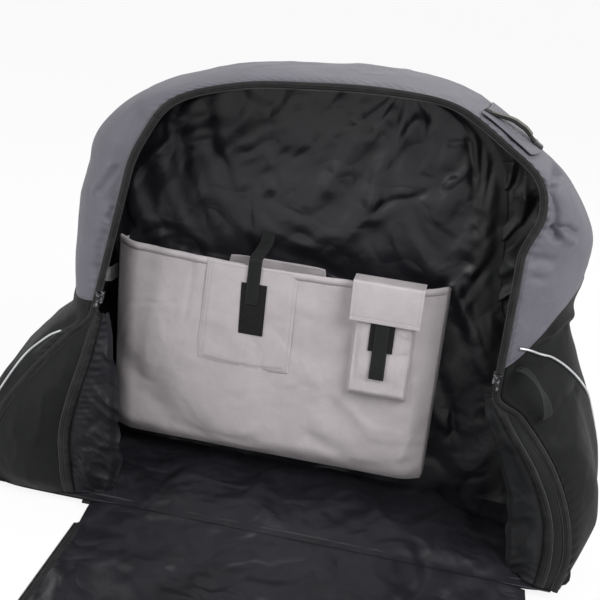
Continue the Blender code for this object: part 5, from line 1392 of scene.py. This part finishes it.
# handles and piping
handle = {"t": (14.25, 15.25), "patchS": (3 / 6, 5 / 6), "firstS": (4 / 6, 5 / 6),
          "lastS": (3 / 6, 4 / 6), "rise": 0.0115, "riseShare": 0.06, "steep": 2.6, "foot": 0.0030,
          "halfWide": 0.0115, "halfThick": 0.0024, "face": 0.0085}
v, u = shares(46, 30)
t, s = between(*handle["t"], v), between(*handle["patchS"], u)
points = skinAt(t, s) + skinNormalAt(t, s) * 0.0028
piece = makeCloth("grabHandlePatch", points, "greyShell", 0.0018)
dress(["grab_handle_patch"], ["greyShellCloth"])

share = np.linspace(0, 1, 60)
t = between(*handle["t"], share)
lowS, highS = (between(*ends, share) for ends in zip(handle["firstS"], handle["lastS"]))
near, far = skinAt(t, lowS), skinAt(t, highS)
up = skinNormalAt(t, (lowS + highS) / 2)
side = unit(far - near)
lift = handle["rise"] * ease((share - handle["riseShare"]) * handle["steep"], 0, 1) \
    * ease((1 - handle["riseShare"] - share) * handle["steep"], 0, 1)
centre = (near + far) / 2 + up * (handle["foot"] + handle["halfThick"] + lift)[:, None]
angles = np.linspace(0, 2 * math.pi, 29)
across = blunt(np.cos(angles), 0.6) * handle["halfWide"]
thick = blunt(np.sin(angles), 0.8) * handle["halfThick"]
padded = 1 + 0.25 * hump(share)
points = centre[:, None] + side[:, None] * across[None, :, None] \
    + up[:, None] * (thick[None, :] * padded[:, None])[..., None]
piece = makeCloth("grabHandlePad", points, "strapWeb", 0, True)
dress(["grab_handle"])

# a lighter strip sewn on the handle, and the small keeper at its lower end
along = slice(6, 44)
u = np.linspace(-1, 1, 9)
points = (centre + up * (handle["halfThick"] * padded + 0.0013)[:, None])[along, None] \
    + side[along, None] * (handle["face"] * u)[None, :, None] \
    - up[along, None] * (0.0006 * u ** 2)[None, :, None]
piece = makeCloth("grabHandleStrip", points, "taupeWeb", 0.0012)
dress((), ["grabHandlePad"])

keeperAt = 50
turns = np.linspace(0, 2 * math.pi, 41)
keeperWide, keeperTall = 0.0128, 0.0042
path = centre[keeperAt] + side[keeperAt] * (blunt(np.cos(turns), 0.35) * keeperWide)[:, None] \
    + up[keeperAt] * (blunt(np.sin(turns), 0.5) * keeperTall)[:, None]
keeper = makeTube("grabHandleKeeper", path, 0.0014, "skidPlastic")
dress()

loop = {"t": (20.75, 22.25), "s": (5 / 6, 1.0), "lift": 0.011, "lean": math.radians(30),
        "reach": 0.0450, "width": 0.022, "tabGap": 0.0018, "tabTall": 0.014}
first = (skinAt(loop["t"][0], loop["s"][0]) + skinAt(loop["t"][0], loop["s"][1])) / 2
last = (skinAt(loop["t"][1], loop["s"][0]) + skinAt(loop["t"][1], loop["s"][1])) / 2
middle = (first + last) / 2
along = unit(last - first)
normal = skinNormalAt(np.array(sum(loop["t"]) / 2), np.array(sum(loop["s"]) / 2))
normal = unit(normal - along * (normal @ along))
sideways = np.cross(along, normal)
out = normal * math.cos(loop["lean"]) - sideways * math.sin(loop["lean"])
over = unit(np.cross(along, out))
turn = np.linspace(0, math.pi, 48)
half = np.linalg.norm(last - first) / 2 - 0.001
arch = (middle + normal * loop["lift"] - along * half * np.cos(turn)[:, None]
        + out * (loop["reach"] * np.sin(turn) ** 0.9)[:, None])
u = np.linspace(-0.5, 0.5, 9)
radial = unit(-along * np.cos(turn)[:, None] + out * np.sin(turn)[:, None])
twist = 0.85 * np.sin(turn) * (1 - ease(turn, 1.2, 2.6))
lay = over * np.cos(twist)[:, None] + radial * np.sin(twist)[:, None]
points = arch[:, None] + lay[:, None] * (loop["width"] * u)[None, :, None]
piece = makeCloth("sideLoopWeb", points, "strapWeb", 0.0016, body="side_handle")
dress(["side_handle"], ["rightEndCloth"])
for end in ("Upper", "Lower"):
    node = "side_handle_tab_" + end.lower()
    low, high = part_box(node)
    foot = np.array((low + high) / 2)
    lift = np.linspace(-0.5, 0.5, 12) * loop["tabTall"]
    points = foot + normal * lift[:, None, None] + sideways * (0.0125 * u)[None, :, None] \
        + along * (0.0008 * np.cos(lift / loop["tabTall"] * math.pi))[:, None, None]
    piece = makeCloth("loopTab" + end, points, "strapWeb", 0.0022)
    dress([node], ["rightEndCloth"])

pipingRoutes = {
    "left": [(4.20, 0.93), (3.98, 0.865), (3.44, 0.81), (2.70, 0.845), (2.40, 0.86),
             (1.40, 0.86), (0.50, 0.84)],
    "right": [(20.10, 0.938), (20.32, 0.883), (21.10, 0.770), (21.54, 0.722), (21.94, 0.667),
              (22.40, 0.585), (22.86, 0.490), (23.40, 0.425), (24.20, 0.370), (25.20, 0.340)]}
for side, route in pipingRoutes.items():
    t, s = np.array(route).T
    steps = np.arange(len(route))
    places = np.linspace(0, len(route) - 1, 150)
    t, s = np.interp(places, steps, t), np.interp(places, steps, s)
    soften(t, 60)
    soften(s, 60)
    line = skinAt(t, s) + skinNormalAt(t, s) * 0.0030
    cord = makeTube(side + "PipingCord", line, 0.0022, "piping")
    dress(["piping_" + side])
print("handles sewn")

# moulded and metal nodes keep their own shape
carried = {
    "skidPlastic": ("skid_front", "skid_centre", "skid_back", "roller_carrier"),
    "rollerRubber": ("roller_front", "roller_back"),
    "axleSteel": ("roller_axle_front", "roller_axle_back"),
    "boardPlastic": ("base_board",),
    "sliderMetal": ("zip_slider_left", "zip_slider_right", "zip_pull_left", "zip_pull_right")}
for paintName, nodeName in ((key, name) for key, names in carried.items() for name in names):
    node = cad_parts[nodeName]
    if node.material_slots:
        node.material_slots[0].material = paints[paintName]
    else:
        node.data.materials.append(paints[paintName])

# plain floor, sky and lamps
studio = {"floor": (0.80, 0.80, 0.80), "sky": 0.42, "key": 80, "fill": 36, "rim": 20,
          "backdrop": 0.86}

paint = Paint("studioFloor")
cameraSees = paint.backdropRays() * studio["backdrop"]
matte = paint.node("ShaderNodeBsdfPrincipled", None, {"Base Color": studio["floor"],
                                                      "Roughness": 0.9})
glow = paint.node("ShaderNodeEmission", None, {"Color": (1.0, 1.0, 1.0), "Strength": 1.04})
paint.close(paint.node("ShaderNodeMixShader", None, {0: cameraSees, 1: matte, 2: glow}))
bm = bmesh.new()
bmesh.ops.create_grid(bm, x_segments=1, y_segments=1, size=14)
floor = addObject("studioFloor", meshFrom(bm, "studioFloor"))
floor.data.materials.append(paint.material)

bpy.context.scene.world = bpy.data.worlds.new("studioSky")
sky = Paint("studioSky", bpy.context.scene.world)
dim, white = [sky.node("ShaderNodeBackground", None, {"Color": (1, 1, 1), "Strength": strength})
              for strength in (studio["sky"], 1.0)]
sky.close(sky.node("ShaderNodeMixShader", None, {0: sky.backdropRays(), 1: dim, 2: white}),
          "ShaderNodeOutputWorld")


def softLamp(name, place, aim, size, power):
    lamp = bpy.data.lights.new(name, "AREA")
    lamp.shape = "RECTANGLE"
    lamp.size, lamp.size_y = size
    lamp.energy = power
    thing = addObject(name, lamp)
    thing.location = place
    thing.rotation_euler = (Vector(aim) - Vector(place)).to_track_quat("-Z", "Y").to_euler()


softLamp("keyLamp", (1.9, -1.6, 2.7), (0, 0, 0.45), (1.8, 1.4), studio["key"])
softLamp("fillLamp", (-2.4, -1.8, 1.9), (0, 0, 0.4), (2.0, 1.6), studio["fill"])
softLamp("rimLamp", (0.4, 2.4, 2.4), (0, 0, 0.5), (2.4, 1.0), studio["rim"])
bpy.context.scene.view_settings.view_transform = "Standard"
print("studio lit")
